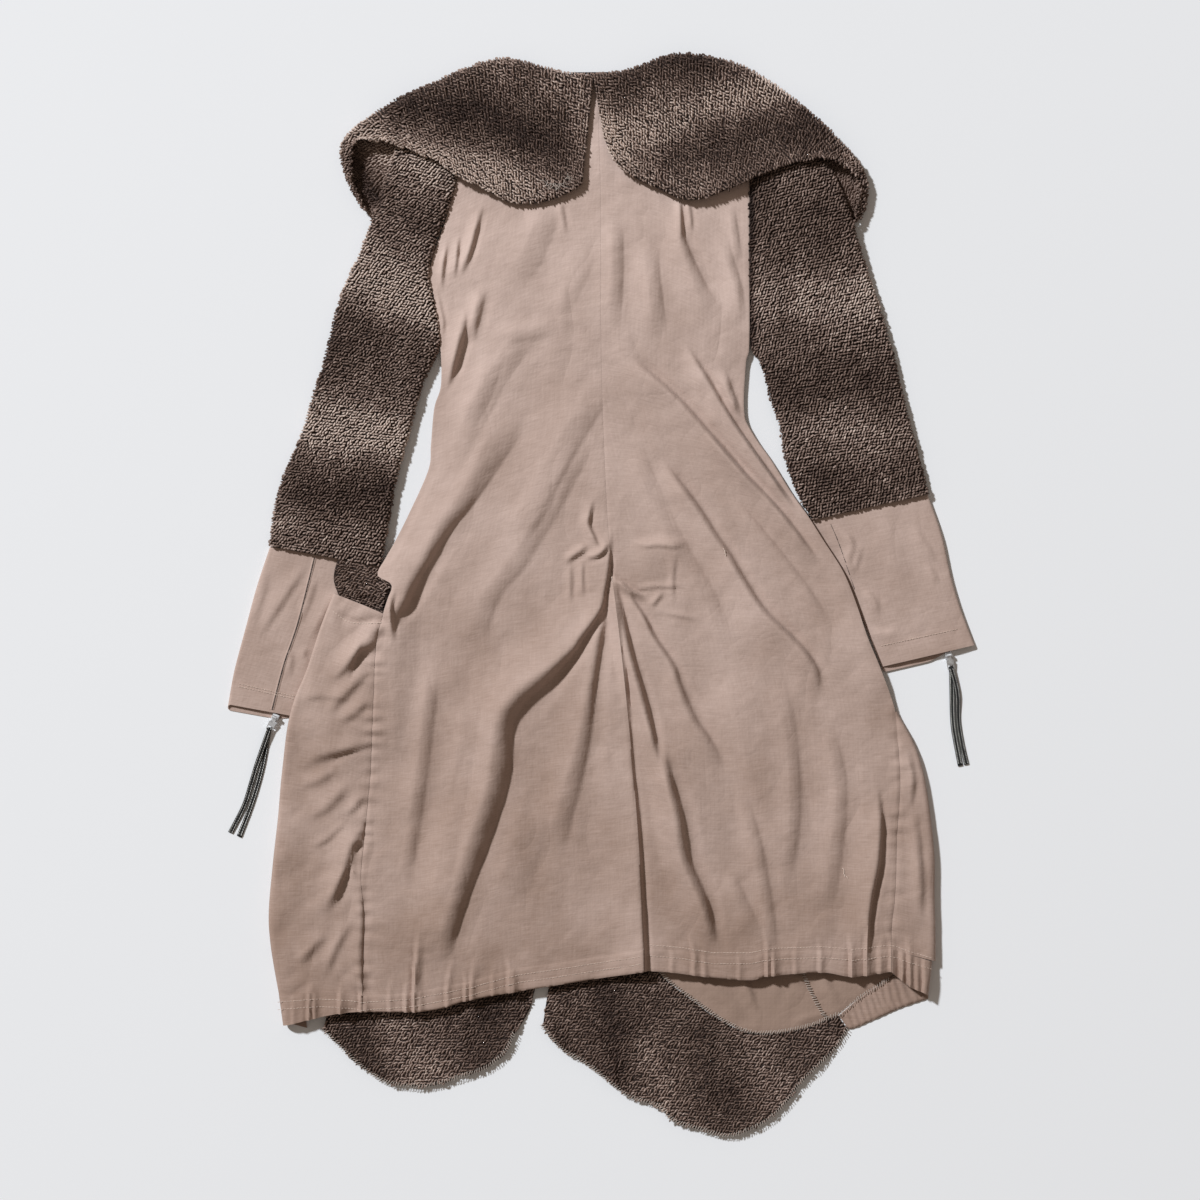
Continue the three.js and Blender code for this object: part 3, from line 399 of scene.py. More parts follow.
# %% Distance to a drawn line
def near_line(points, x, y, reach):
    """For the points within reach: their index, distance, side and place along the line from 0 to 1."""
    line = curve(points, 4 * len(points))
    flat_x, flat_y = x.ravel(), y.ravel()
    inside = ((flat_x > line[:, 0].min() - reach) & (flat_x < line[:, 0].max() + reach)
              & (flat_y > line[:, 1].min() - reach) & (flat_y < line[:, 1].max() + reach))
    index = np.nonzero(inside)[0]
    px, py = flat_x[index], flat_y[index]
    best = np.full(len(index), np.inf)
    side, firmness = np.ones(len(index)), np.zeros(len(index))
    along = np.zeros(len(index))
    steps = np.linalg.norm(np.diff(line, axis=0), axis=1)
    walked = 0.0
    for (ax, ay), (bx, by), length in zip(line, line[1:], steps):
        tx, ty = (bx - ax) / length, (by - ay) / length
        t = np.clip((px - ax) * tx + (py - ay) * ty, 0, length)
        dx, dy = px - ax - t * tx, py - ay - t * ty
        distance = np.hypot(dx, dy)
        cross = dy * tx - dx * ty
        closer = distance < best - 1e-6
        surer = closer | ((distance < best + 1e-6) & (np.abs(cross) > firmness))
        best = np.where(closer, distance, best)
        side = np.where(surer, np.where(cross >= 0, 1.0, -1.0), side)
        firmness = np.where(surer, np.abs(cross), firmness)
        along = np.where(closer, (walked + t) / steps.sum(), along)
        walked += length
    return index, best, side, along


# %% [markdown]
# ## The pattern of the back
# Seams and outer edges, each from the collar end to the hem end. Two panels that share a seam read the same
# row.

# %% Pattern lines of the back and sides
CENTRE_SEAM = [(-4, 613), (0, 474), (0, 354), (2, 234), (7, 114), (12, 42), (16, 6), (26, -78), (38, -198),
               (47, -318), (52, -421)]
LEFT_EDGE = [(-166, 546), (-172, 498), (-185, 450), (-204, 390), (-199, 354), (-192, 300), (-191, 252),
             (-199, 224), (-203, 180), (-206, 150), (-229, 98), (-245, 66), (-257, 44), (-266, 24),
             (-249, 12), (-254, -6), (-259, -22)]
LEFT_SIDE_SEAM = [(-259, -22), (-268, -60), (-271, -126), (-275, -211), (-281, -278), (-286, -336),
                  (-282, -382), (-283, -427), (-284, -478)]
RIGHT_EDGE = [(173, 540), (178, 498), (178, 450), (178, 390), (178, 300), (174, 277), (172, 220), (182, 194),
              (204, 162), (227, 125), (247, 96), (266, 66), (290, 28), (306, -11), (319, -50), (335, -89),
              (353, -140)]
RIGHT_SIDE_SEAM = [(353, -140), (356, -184), (358, -228), (354, -294), (352, -354), (348, -394), (347, -422)]
LEFT_FOLD = [(-319, 2), (-334, -36), (-352, -91), (-365, -122), (-374, -156), (-382, -216), (-386, -264),
             (-392, -318), (-397, -377), (-395, -419), (-385, -478)]
RIGHT_FOLD = [(358, -140), (370, -174), (379, -198), (386, -228), (392, -271), (396, -313), (396, -359),
              (397, -402), (397, -438)]
CASING_TOP = {
    "side_left": [(-385, -478), (-341, -474), (-307, -475), (-284, -478)],
    "back_left": [(-284, -478), (-232, -475), (-192, -468), (-157, -461), (-102, -446), (-52, -439),
                  (36, -425), (52, -421)],
    "back_right": [(52, -421), (98, -425), (134, -431), (179, -431), (202, -426), (264, -424), (301, -427),
                   (347, -422)],
    "side_right": [(347, -422), (364, -428), (397, -438)],
}
HEM = {
    "side_left": [(-380, -515), (-341, -505), (-310, -499), (-284, -497)],
    "back_left": [(-284, -497), (-227, -498), (-192, -494), (-157, -484), (-96, -473), (-52, -466),
                  (41, -451), (52, -449)],
    "back_right": [(52, -449), (86, -451), (134, -457), (179, -460), (202, -455), (264, -451), (301, -456),
                   (347, -450)],
    "side_right": [(347, -450), (370, -469), (392, -479)],
}

# %% Folds of the back
# Each row: height, width of the slow side, width of the drop, and the crest's line. Several values run
# along it.
FOLDS = [
    ((5, 8, 14, 18, 18, 17, 14, 9), 60, (3, 4, 10, 20, 25, 24, 20, 13),
     [(11, 86), (10.5, 60), (8, 30), (3, 3), (-1, -15), (-16, -36), (-27, -50), (-40, -67), (-70, -93),
      (-103, -118), (-124, -150), (-133, -218), (-154, -287), (-177, -358), (-190, -420), (-184, -446)]),
    ((5, 7, 9, 11, 11, 9), 56, (34, 28, 20, 14, 11, 9),
     [(-112, 228), (-146, 162), (-168, 120), (-188, 92), (-210, 52), (-228, 16), (-238, -8), (-250, -24),
      (-252, -52)]),
    ((5, 8, 7, 5), 34, (7, 10, 18, 24),
     [(4, 4), (-3, -40), (-14, -101), (-26, -169), (-42, -226), (-54, -264), (-66, -310)]),
    (4, 9, 3.5, [(13.5, 30), (15, 8), (19.5, -27), (23.5, -66), (29, -110), (33, -150)]),
    ((5, 9, 10, 10), 20, (3.5, 7, 8, 6),
     [(13, 34), (16, 14), (20.5, -12), (25, -36), (31, -66), (45, -116), (59, -169), (67, -214)]),
    (12, 26, (8, 13, 12, 9), [(69, -176), (76, -218), (86, -262), (96, -318), (120, -372), (134, -428)]),
    ((9, 7, 7, 7), 24, (3.5, 6, 9, 8),
     [(24, 14), (33, 3.5), (36, -6), (44, -18.5), (52.5, -33), (62, -53), (83, -86), (90, -108), (107, -150),
      (126, -177), (146, -214)]),
    (7, 10, 3.5, [(10, 21), (18, 17), (26, 12), (34, 5.5), (51, -2.5), (56, -5)]),
    (3, 8, 4, [(75, 5), (67, -4), (58, -15)]), (4, 12, 50, [(112, 62), (70, 63), (26, 58)]),
    (2.2, 8, 3, [(106, 64), (90, 58.5), (68, 60), (54, 59), (36, 65)]),
    (2.6, 8, 3, [(108, 13), (84, 11), (62, 10.3), (45, 8), (28, 10)]),
    (1.9, 8, 4, [(89, 56), (85.5, 28), (85, 8), (85, -16)]), (1.6, 8, 4, [(125, -29), (90, -23), (66, -17)]),
    ((3, 4, 7, 9, 9), 60, (4, 4, 5, 5, 5),
     [(26, -60), (36, -203), (42, -264), (46, -340), (50, -421), (51, -449), (57, -600)]),
    (6, 30, (40, 75, 60), [(62, -150), (82, -230), (108, -320)]),
    (5, 40, (50, 60, 50), [(150, -90), (176, -200), (214, -330)]),
    (4, 40, (40, 60, 40), [(-196, -60), (-214, -160), (-232, -280)]),
    (3.5, 30, 36, [(-90, -230), (-106, -300), (-128, -380)]),
    (5, 12, 4, [(-10, 118), (-14, 98), (-16, 84), (-10, 70), (-5, 58), (0, 46)]),
    (4.5, 10, 5, [(-12, 62), (-24, 54), (-36, 46), (-45, 37)]),
    (5.5, 9, 4.5, [(8, 65), (3, 55), (-1.5, 50.5), (-8, 47.5), (-20, 46)]),
    (2.2, 9, 4, [(-38, 40), (-37, 15), (-38, -14)]), (2.4, 8, 3.5, [(-23, 46), (-23, 20), (-21, -8)]),
    (5, 12, 5, [(-143, 470), (-147, 452), (-152, 432), (-160, 405), (-172, 378)]),
    (3.5, 9, 4, [(-171, 432), (-173, 406), (-177, 376)]),
    (9, 18, (5, 8, 7, 5), [(-163, 346), (-167, 321), (-174, 290), (-181, 265), (-189, 246)]),
    (5, 15, 9, [(-143, 372), (-148, 348), (-154, 325), (-160, 300)]),
    (3.5, 8, 4, [(-185, 424), (-190, 390), (-192, 362)]),
    (3.5, 8, 4, [(-199, 370), (-193, 340), (-190, 325), (-193, 300)]),
    (3.5, 30, 20, [(-130, 300), (-150, 240), (-176, 196)]),
    (3.4, 34, 24, [(-84, 330), (-110, 300), (-135, 262), (-160, 214), (-192, 160)]),
    (3.5, 30, 26, [(-62, 480), (-84, 430), (-98, 400), (-122, 380)]),
    (2.6, 20, 14, [(-50, 326), (-80, 318), (-106, 314), (-124, 298)]),
    (2.4, 9, 5, [(-50, 474), (-47, 452), (-43, 430)]),
    ((6, 7, 6, 4), 28, (9, 9, 14, 20), [(87, 470), (92, 430), (106, 386), (120, 352), (137, 322)]),
    ((3, 5, 4), 26, 16, [(52, 430), (56, 380), (62, 330), (66, 300)]),
    ((3, 4.5, 3), 24, 14, [(10, 462), (14, 410), (12, 350), (8, 310)]),
    (3.4, 18, 10, [(138, 440), (150, 400), (162, 360), (168, 320)]),
    (2.6, 14, 8, [(152, 470), (158, 430), (164, 390)]), (3.4, 9, 4, [(92, 482), (95, 450), (95, 418)]),
    (2.4, 8, 4, [(103, 478), (106, 450), (108, 428)]),
    (8.5, 26, 6, [(95, 302), (127, 254), (154, 208), (203, 139), (237, 94)]),
    (9.0, 30, 7, [(28, 283), (65, 254), (101, 220), (157, 155), (214, 94), (262, 30)]),
    (9.5, 30, 8,
     [(66, 162), (111, 104), (134, 68), (148, 48), (189, -18), (229, -58), (254, -91), (256, -124)]),
    (5.0, 14, 8, [(141, 272), (157, 230), (171, 205)]), (4.0, 16, 7, [(120, 200), (150, 166), (186, 120)]),
    (3.6, 18, 8, [(150, 120), (196, 66), (232, 22)]), (3.2, 16, 8, [(200, 60), (240, 10), (272, -40)]),
    (5.5, 50, 26, [(-4, 260), (-32, 215), (-73, 142), (-85, 114), (-121, 60)]),
    (4.0, 34, 20, [(-20, 200), (-60, 120), (-104, 48), (-140, 0), (-158, -60)]),
    (3.0, 24, 16, [(30, 190), (58, 120), (92, 50), (126, -10), (150, -70)]),
    (2.4, 26, 18, [(12, 330), (30, 280), (60, 236)]), (2.0, 26, 18, [(-20, 420), (-34, 380), (-60, 330)]),
    ((4, 9, 10, 9, 6), 36, (4, 6, 6, 5, 4),
     [(328, -222), (332, -266), (329, -318), (321, -360), (316, -408), (316, -446)]),
    (3.6, 26, 15, [(262, -150), (280, -220), (276, -300), (262, -380)]),
    (3.4, 24, 14, [(205, -90), (222, -170), (226, -260), (214, -350)]),
    (4.0, 24, 12, [(146, -330), (166, -370), (187, -416)]),
    (4.0, 24, 12, [(160, -230), (182, -300), (196, -380), (202, -440)]),
    (4.0, 24, 14, [(-205, -80), (-214, -170), (-226, -260), (-240, -350)]),
    (3.0, 30, 20, [(-160, -110), (-172, -200), (-190, -300), (-205, -390)]),
    (8, 18, (9, 11, 8, 6), [(-262, -28), (-276, -50), (-294, -66), (-309, -88), (-326, -100)]),
    (3.5, 10, 4, [(-284, -52), (-299, -88), (-306, -104)]),
    (4.5, 16, 8, [(-276, -84), (-300, -110), (-330, -142)]),
    (-2.6, 5, 5, [(-252, -26), (-264, -29), (-286, -31), (-303, -28), (-326, -8)]),
    (1.8, 12, 5, [(-289, -126), (-317, -120), (-337, -120), (-362, -121)]),
    ((6, 6, 5, 3, 2), 22, (4, 5, 7, 9, 9),
     [(-272, -166), (-281, -178), (-309, -184), (-342, -194), (-369, -210)]),
    (3.4, 14, 7, [(-276, -120), (-296, -140), (-318, -150)]),
    (3.4, 10, 5, [(-284, -238), (-294, -252), (-308, -262)]),
    ((5, 9, 7, 10, 6), 26, (4, 8, 5, 8, 5),
     [(-281, -262), (-290, -284), (-301, -304), (-306, -326), (-318, -352), (-334, -386)]),
    ((1.5, 2.5, 3, 3), 16, 5, [(-284, -306), (-287, -350), (-286, -388), (-288, -430), (-287, -500)]),
    ((5, 5, 4), 10, 4, [(-246, 10), (-251, -14), (-250, -36), (-247, -60)]),
    (3.0, 8, 3, [(-292, -296), (-296, -320), (-294, -344)]),
    (2.4, 12, 4, [(-300, -262), (-326, -290), (-352, -304)]),
    (4.5, 18, 8, [(-328, -400), (-353, -427), (-366, -440)]),
    (4.0, 20, 9, [(-300, -220), (-330, -252), (-356, -262)]),
    (3.6, 14, 7, [(-296, -380), (-318, -420), (-334, -462)]),
    (3.0, 16, 8, [(-310, -200), (-340, -220), (-366, -224)]),
    (4.0, 14, 8, [(370, -250), (378, -320), (380, -400)]),
    (3.0, 12, 6, [(366, -180), (372, -220), (366, -262)]),
]
OUTLINE_LEFT = np.array([(606, -48), (582, -102)] + [(y, x) for x, y in LEFT_EDGE[:13]] + [(2, -319)]
                        + [(y, x) for x, y in LEFT_FOLD[1:]] + [(-515, -380)], float)
OUTLINE_RIGHT = np.array([(606, 43), (582, 106)] + [(y, x) for x, y in RIGHT_EDGE]
                         + [(y, x) for x, y in RIGHT_FOLD[1:]] + [(-479, 392)], float)
EDGE_LIFT = np.array([(560, 0), (520, 1.5), (470, 2.5), (440, 3.5), (330, 3.5), (270, 0.5), (0, 0.5),
                      (-200, 2.5), (-400, 5.5), (-500, 5.5)], float)
BACK_REST, BACK_CROWN, CROWN_REACH, CUFF_LIFT = 4.5, 4.5, 45, 7.5
WOVEN_WALL, KNIT_WALL, CASING_WALL = 1.5, 3.5, 2.4


# %% The height of the back's underside
def table_at(table, y):
    return np.interp(-y, -table[:, 0], table[:, 1])


def back_form(x, y):
    """The plain form of the back: its folds and gathers come on top of it."""
    inside = np.maximum(0, np.minimum(x - table_at(OUTLINE_LEFT, y), table_at(OUTLINE_RIGHT, y) - x))
    crown = BACK_CROWN * (1 - np.exp(-inside / CROWN_REACH))
    over_cuff = CUFF_LIFT * ease((y + 215) / 60) * ease((-212 - x) / 38) * ease((70 - y) / 40)
    over_right_cuff = 6.0 * ease((y + 140) / 50) * ease((125 - y) / 35) * np.exp(-(inside / 26) ** 2) * (x > 0)
    loose_edge = 3.0 * np.exp(-inside / 30) * ease((-140 - y) / 120)
    return BACK_REST + table_at(EDGE_LIFT, y) + crown + over_cuff + over_right_cuff + loose_edge, inside


def folds_at(x, y, folds):
    total = np.zeros(x.size)
    for *sizes, line in folds:
        reach = max(np.max(sizes[1]), 2.2 * np.max(sizes[2]))
        index, distance, side, along = near_line(line, x, y, reach)
        height, slow, drop = (np.interp(along, np.linspace(0, 1, np.size(v)),
                                        np.atleast_1d(v)) for v in sizes)
        near = (np.sqrt((distance / slow) ** 2 + 0.0036) - 0.06) / 0.942
        fall = 1 - np.clip(distance / drop, 0, 1) ** 2
        rise = height * np.where(side > 0, fall, np.clip(1 - near, 0, 1) ** 1.7)
        length = np.linalg.norm(np.diff(curve(line, 20), axis=0), axis=1).sum()
        taper = min(55, length / 2.6)
        ends = ease(along * length / taper) * ease((1 - along) * length / taper)
        hollow = -0.2 * abs(height) * ease(1 - np.abs(distance - 1.5 * drop) / drop) * (side > 0)
        total[index] += (rise + hollow * ease((22 - drop) / 10)) * ends
    return total.reshape(x.shape)


def puckers(line, x, y, pitch, height, reach):
    """Short ripples that cross a stitched seam and die away from it."""
    index, distance, _, along = near_line(line, x, y, 3 * reach)
    length = np.linalg.norm(np.diff(curve(line, 40), axis=0), axis=1).sum()
    run = along * length
    phase = 2 * np.pi * run / pitch + 2.2 * cloth_noise(run, run * 0, 28, 3)
    size = 0.6 + 0.4 * cloth_noise(run, run * 0 + 40, 45, 4)
    total = np.zeros(x.size)
    total[index] = height * size * np.sin(phase) * np.exp(-((distance / reach) ** 2))
    return total.reshape(x.shape)


def groove(line, x, y, depth, reach):
    """The shallow valley of a seam."""
    index, distance, _, _ = near_line(line, x, y, 3 * reach)
    total = np.zeros(x.size)
    total[index] = -depth * np.exp(-((distance / reach) ** 2))
    return total.reshape(x.shape)


GATHERS = [(-382, -96, 23, 0.3), (110, 398, 27, 0.28)]
# Creases that the elastic draws. Columns: x, height, how far each runs up the panel, and its lean.
GATHER_CREASES = [
    (-366, 1.4, 10, 4), (-347, 4.4, 22, 5), (-340, 3.0, 12, -3), (-310, 4.6, 18, 3), (-285, 4.0, 40, 1),
    (-279, 3.0, 14, -4), (-251, 1.4, 30, 5), (-232, 3.6, 26, 5), (-222, 5.5, 80, 6), (-214, 2.2, 16, -5),
    (-182, 2.2, 46, 9), (-160, 4.2, 20, -4), (-153, 3.4, 30, 5), (-128, 1.6, 18, 6), (-108, 4.0, 24, -5),
    (-103, 2.6, 12, 4), (86, 1.6, 20, -8), (112, 2.6, 34, -9), (124, 2.0, 16, 6), (166, 1.2, 20, 3),
    (200, 4.4, 30, -5), (207, 4.6, 14, 3), (233, 1.6, 24, 6), (263, 2.6, 22, -4), (300, 5.0, 30, -5),
    (318, 5.4, 46, 2), (334, 2.6, 20, 6), (348, 3.4, 30, -4), (360, 4.6, 16, 4), (369, 4.8, 32, -3),
    (378, 2.8, 12, -4), (387, 3.6, 14, 3),
]


def gathered(x, y):
    """Soft ripples across the casing."""
    total = np.zeros(np.shape(x))
    for start, end, pitch, rise in GATHERS:
        fade = ease((x - start) / 12) * ease((end - x) / 12)
        wander = 1.9 * cloth_noise(x, y * 0.35, 31, 11) + 0.5 * cloth_noise(x, y, 17, 12)
        size = 0.62 + 0.38 * cloth_noise(x, y * 0.2, 44, 13)
        total += rise * fade * size * (1 + np.sin(2 * np.pi * (x - start) / pitch + wander)) / 2
    return total


def whole_line(table):
    return np.array(sum((table[k] for k in ("side_left", "back_left", "back_right", "side_right")), []),
                    float)


TOP_LINE, HEM_LINE = whole_line(CASING_TOP), whole_line(HEM)


def hem_line(x):
    return np.interp(x, TOP_LINE[:, 0], TOP_LINE[:, 1])


def gather_lines():
    """The elastic's creases as rows of the same kind as the folds."""
    rows = []
    for x, height, up, lean in GATHER_CREASES:
        top = float(hem_line(x))
        crest = [(x - lean, top - 90), (x, top - 28), (x, top), (x + lean, top + up)]
        rows.append((1.15 * height, 5 + height, 3.2, crest))
    return rows


def crumple(x, y):
    """Creases left by folding: straight, sharp valleys between soft plates, strongest on the side panel."""
    at_side = ease((-250 - x) / 30) + ease((x - 340) / 20)
    near_hem = np.exp(-np.maximum(0, y - hem_line(x)) / 40)
    u, v = 0.8 * x + 0.6 * y, 0.8 * y - 0.6 * x
    plates = np.abs(cloth_noise(u, v * 0.55, 34, 24)) + 0.6 * np.abs(cloth_noise(v, u * 0.6, 19, 25)) - 0.5
    return plates * (0.3 + 2.1 * at_side + 0.9 * near_hem)


def back_height(x, y):
    """The underside of the back over the floor, in millimetres."""
    form, inside = back_form(x, y)
    fade = ease(inside / 14)
    relief = (folds_at(x, y, FOLDS) + crumple(x, y)) * fade
    relief = relief + folds_at(x, y, GATHER_FOLDS) * ease((inside + 6) / 10)
    relief += 0.7 * cloth_noise(x, y * 0.6, 38, 21) + 0.4 * cloth_noise(x * 0.8, y, 15, 22)
    relief += 0.16 * cloth_noise(x, y, 7, 23)
    relief += puckers(LEFT_SIDE_SEAM, x, y, 17, 1.9, 12) + puckers(RIGHT_SIDE_SEAM, x, y, 19, 1.2, 11)
    relief += puckers(CENTRE_SEAM[:6], x, y, 26, 0.3, 9)
    relief += groove(LEFT_SIDE_SEAM, x, y, 0.8, 2.4) + groove(RIGHT_SIDE_SEAM, x, y, 0.8, 2.4)
    relief += groove(CENTRE_SEAM[3:7], x, y, 0.35, 2.0)
    above_hem = y - hem_line(x)
    relief += gathered(x, y) * np.exp(-np.maximum(above_hem, 0) / 16)
    return form + np.maximum(relief, -0.55 * (form - 3.9))


GATHER_FOLDS = gather_lines()
print("folds in the back", len(FOLDS), "and at the elastic", len(GATHER_FOLDS))

# %% [markdown]
# ## From grids to pieces
# A piece is an outer and an inner grid of points, closed along its rim. Each point also carries its place
# on the flat cloth, for the weave, and the tone of the yarn there, with painted shade under the loops, for the
# knit. Then the piece is put on the body it rides on, and the imported solid it stands for is hidden.


# %% Building a shell
SHARP_FROM = np.radians(62)   # edges that turn more than this stay sharp


def flat_place(grid):
    """Where each point lies on the flat cloth, in metres: across from the middle column, and along it."""
    steps = np.linalg.norm(np.diff(grid, axis=1), axis=2)
    across = np.concatenate([np.zeros((len(grid), 1)), np.cumsum(steps, axis=1)], 1)
    along = distance_along(grid[:, grid.shape[1] // 2])
    across -= across[:, across.shape[1] // 2][:, None]
    return np.stack([across, np.repeat(along[:, None], grid.shape[1], 1), np.zeros(grid.shape[:2])], 2) * MM


def put_values(mesh, name, values, vector=True):
    kind, field = ("FLOAT_VECTOR", "vector") if vector else ("FLOAT", "value")
    mesh.attributes.new(name, kind, "POINT").data.foreach_set(field, np.asarray(values, np.float32).ravel())


def new_piece(name, points, faces, surface, flat=None, tone=None):
    mesh = bpy.data.meshes.new(name)
    mesh.from_pydata(np.asarray(points, float) * MM, [], faces)
    if flat is not None:
        put_values(mesh, "flat", flat)
    if tone is not None:
        put_values(mesh, "tone", tone, vector=False)
    mesh.materials.append(surface)
    mesh.shade_smooth()
    mesh.set_sharp_from_angle(angle=SHARP_FROM)
    made = bpy.data.objects.new(name, mesh)
    bpy.context.collection.objects.link(made)
    return made


def shell(name, outer, inner, surface, closed=False, tone=None, inner_step=1):
    """With inner_step 2 the hidden inner face has half the rows and columns."""
    rows, columns = outer.shape[:2]
    k = inner_step
    place = flat_place(outer)
    inner, inner_place = inner[::k, ::k], place[::k, ::k]
    points = np.concatenate([outer.reshape(-1, 3), inner.reshape(-1, 3)])
    near = np.arange(rows * columns).reshape(rows, columns)
    far = np.arange(inner.shape[0] * inner.shape[1]).reshape(inner.shape[:2]) + rows * columns
    if closed:
        near, far = (np.concatenate([at, at[:, :1]], 1) for at in (near, far))
    face = lambda a, b, c, d: np.stack([a, b, c, d], -1).reshape(-1, 4)
    outer_faces = face(near[:-1, :-1], near[1:, :-1], near[1:, 1:], near[:-1, 1:])
    faces = outer_faces.tolist() + face(far[:-1, :-1], far[:-1, 1:], far[1:, 1:], far[1:, :-1]).tolist()
    edges = [(near[0], far[0]), (near[-1][::-1], far[-1][::-1])]
    if not closed:
        edges += [(near[::-1, 0], far[::-1, 0]), (near[:, -1], far[:, -1])]
    for fine, coarse in edges:
        faces += [fine[n * k:n * k + k + 1].tolist() + [int(coarse[n + 1]), int(coarse[n])]
                  for n in range(len(coarse) - 1)]
    down, right = outer[1:, :-1] - outer[:-1, :-1], outer[:-1, 1:] - outer[:-1, :-1]
    i, j = np.arange(rows - 1)[:, None] // k, np.arange(columns - 1)[None] // k
    thick = np.einsum("ijk,ijk->", np.cross(down, right), outer[:-1, :-1] - inner[i, j])
    if thick < 0:
        faces = [f[::-1] for f in faces]
    flat = np.concatenate([place.reshape(-1, 3), inner_place.reshape(-1, 3)])
    tones = None if tone is None else np.concatenate([tone.ravel(), tone[::k, ::k].ravel()])
    return new_piece(name, points, faces, surface, flat, tones)


def tell(piece, nodes, slot, body="coat", flat=None, area=None, held="laid", rests_on=(), with_pieces=()):
    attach(piece, body)
    if nodes:
        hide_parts(*nodes)
    if flat:
        list(rests_on)
        list(with_pieces)
    print(piece.name, "triangles", sum(len(p.vertices) - 2 for p in piece.data.polygons))


# %% [markdown]
# ## Stitches
# Knit loops, seams, topstitching and zip coil are all the same thing: a short bent length of yarn, laid
# many times. One geometry tree lays it on points. Each point carries the way out of the cloth and the way
# that its row runs. The loops have few sides, because there are thousands of them.

# %% The stitch tree
def stitch_tree():
    tree = bpy.data.node_groups.new("stitches on points", "GeometryNodeTree")
    sockets = {}
    for label, kind, value in (("Geometry", "Geometry", None), ("Length", "Float", 0.004),
                               ("Thickness", "Float", 0.001), ("Bow", "Float", 0.001),
                               ("Lift", "Float", 0.001), ("Slant", "Float", 0.0), ("Turn", "Float", 0.2),
                               ("Seed", "Int", 1), ("Surface", "Material", None)):
        socket = tree.interface.new_socket(label, in_out="INPUT", socket_type="NodeSocket" + kind)
        if value is not None:
            socket.default_value = value
        sockets[label] = socket.identifier
    tree.interface.new_socket("Geometry", in_out="OUTPUT", socket_type="NodeSocketGeometry")
    given, out = tree.nodes.new("NodeGroupInput").outputs, tree.nodes.new("NodeGroupOutput").inputs
    calc = lambda operation, a, b: math(tree, operation, a, b)
    xyz = lambda x, y, z: node(tree, "ShaderNodeCombineXYZ", {"X": x, "Y": y, "Z": z}).outputs[0]
    half = calc("MULTIPLY", given["Length"], 0.5)
    arc = node(tree, "GeometryNodeCurveQuadraticBezier", {
        "Resolution": 3, "Start": xyz(calc("MULTIPLY", half, -1.0), 0.0, 0.0),
        "Middle": xyz(0.0, given["Bow"], given["Lift"]), "End": xyz(half, 0.0, 0.0)})
    ring = node(tree, "GeometryNodeCurvePrimitiveCircle", {
        "Resolution": 3, "Radius": calc("MULTIPLY", given["Thickness"], 0.5)})
    yarn = node(tree, "GeometryNodeCurveToMesh", {"Curve": arc.outputs["Curve"],
                                                  "Profile Curve": ring.outputs["Curve"], "Fill Caps": True})
    smooth = node(tree, "GeometryNodeSetShadeSmooth", {0: yarn.outputs["Mesh"]})
    read = lambda name: node(tree, "GeometryNodeInputNamedAttribute", {"Name": name},
                             data_type="FLOAT_VECTOR").outputs[0]
    facing = node(tree, "FunctionNodeAxesToRotation", {"Primary Axis": read("out"),
                                                       "Secondary Axis": read("run")},
                  primary_axis="Z", secondary_axis="X")
    chance = node(tree, "FunctionNodeRandomValue", {2: calc("SUBTRACT", given["Slant"], given["Turn"]),
                                                    3: calc("ADD", given["Slant"], given["Turn"]),
                                                    "Seed": given["Seed"]}, data_type="FLOAT")
    twist = node(tree, "FunctionNodeAxisAngleToRotation",
                 {"Axis": (0.0, 0.0, 1.0), "Angle": chance.outputs[1]})
    turned = node(tree, "FunctionNodeRotateRotation", {"Rotation": facing.outputs[0],
                                                       "Rotate By": twist.outputs[0]},
                  rotation_space="LOCAL")
    size = node(tree, "FunctionNodeRandomValue", {2: 0.82, 3: 1.18, "Seed": calc("ADD", given["Seed"], 7)},
                data_type="FLOAT")
    laid = node(tree, "GeometryNodeInstanceOnPoints", {"Points": given["Geometry"],
                                                       "Instance": smooth.outputs[0],
                                                       "Rotation": turned.outputs[0],
                                                       "Scale": size.outputs[1]})
    real = node(tree, "GeometryNodeRealizeInstances", {"Geometry": laid.outputs["Instances"]})
    dressed = node(tree, "GeometryNodeSetMaterial", {"Geometry": real.outputs[0],
                                                     "Material": given["Surface"]})
    tree.links.new(dressed.outputs[0], out["Geometry"])
    return tree, sockets


STITCHES, STITCH_SOCKETS = stitch_tree()


# %% Laying stitches
def lay_stitches(name, places, surface, **sizes):
    """places holds points in mm, and for each its way out, its run and, for knit, its tone."""
    points, out, run, tone = places
    mesh = bpy.data.meshes.new(name)
    mesh.from_pydata(points * MM, [], [])
    put_values(mesh, "out", out)
    put_values(mesh, "run", run)
    put_values(mesh, "tone", tone, vector=False)
    source = bpy.data.objects.new(name, mesh)
    bpy.context.collection.objects.link(source)
    modifier = source.modifiers.new("stitches", "NODES")
    modifier.node_group = STITCHES
    for label, value in dict(sizes, Surface=surface).items():
        modifier[STITCH_SOCKETS[label]] = value
    depsgraph = bpy.context.evaluated_depsgraph_get()
    made = bpy.data.meshes.new_from_object(source.evaluated_get(depsgraph))
    source.modifiers.clear()
    source.data = made
    made.name = name
    if not made.materials:
        made.materials.append(surface)
    for spare in ("out", "run"):
        if spare in made.attributes:
            made.attributes.remove(made.attributes[spare])
    return source


# %% [markdown]
# ## Where knit loops go
# A knitted face is rows of loops at one spacing, whatever the outline does. The lattice is counted out from
# the middle of each section, as a knitter would, and the outline trims it. The yarn is dyed in lengths, so
# that a tone runs along a row for a few loops, and the sleeves show the slow light and dark bands of the
# dye.

# %% Loop lattice and yarn tone
COURSE, WALE = 3.6, 3.9
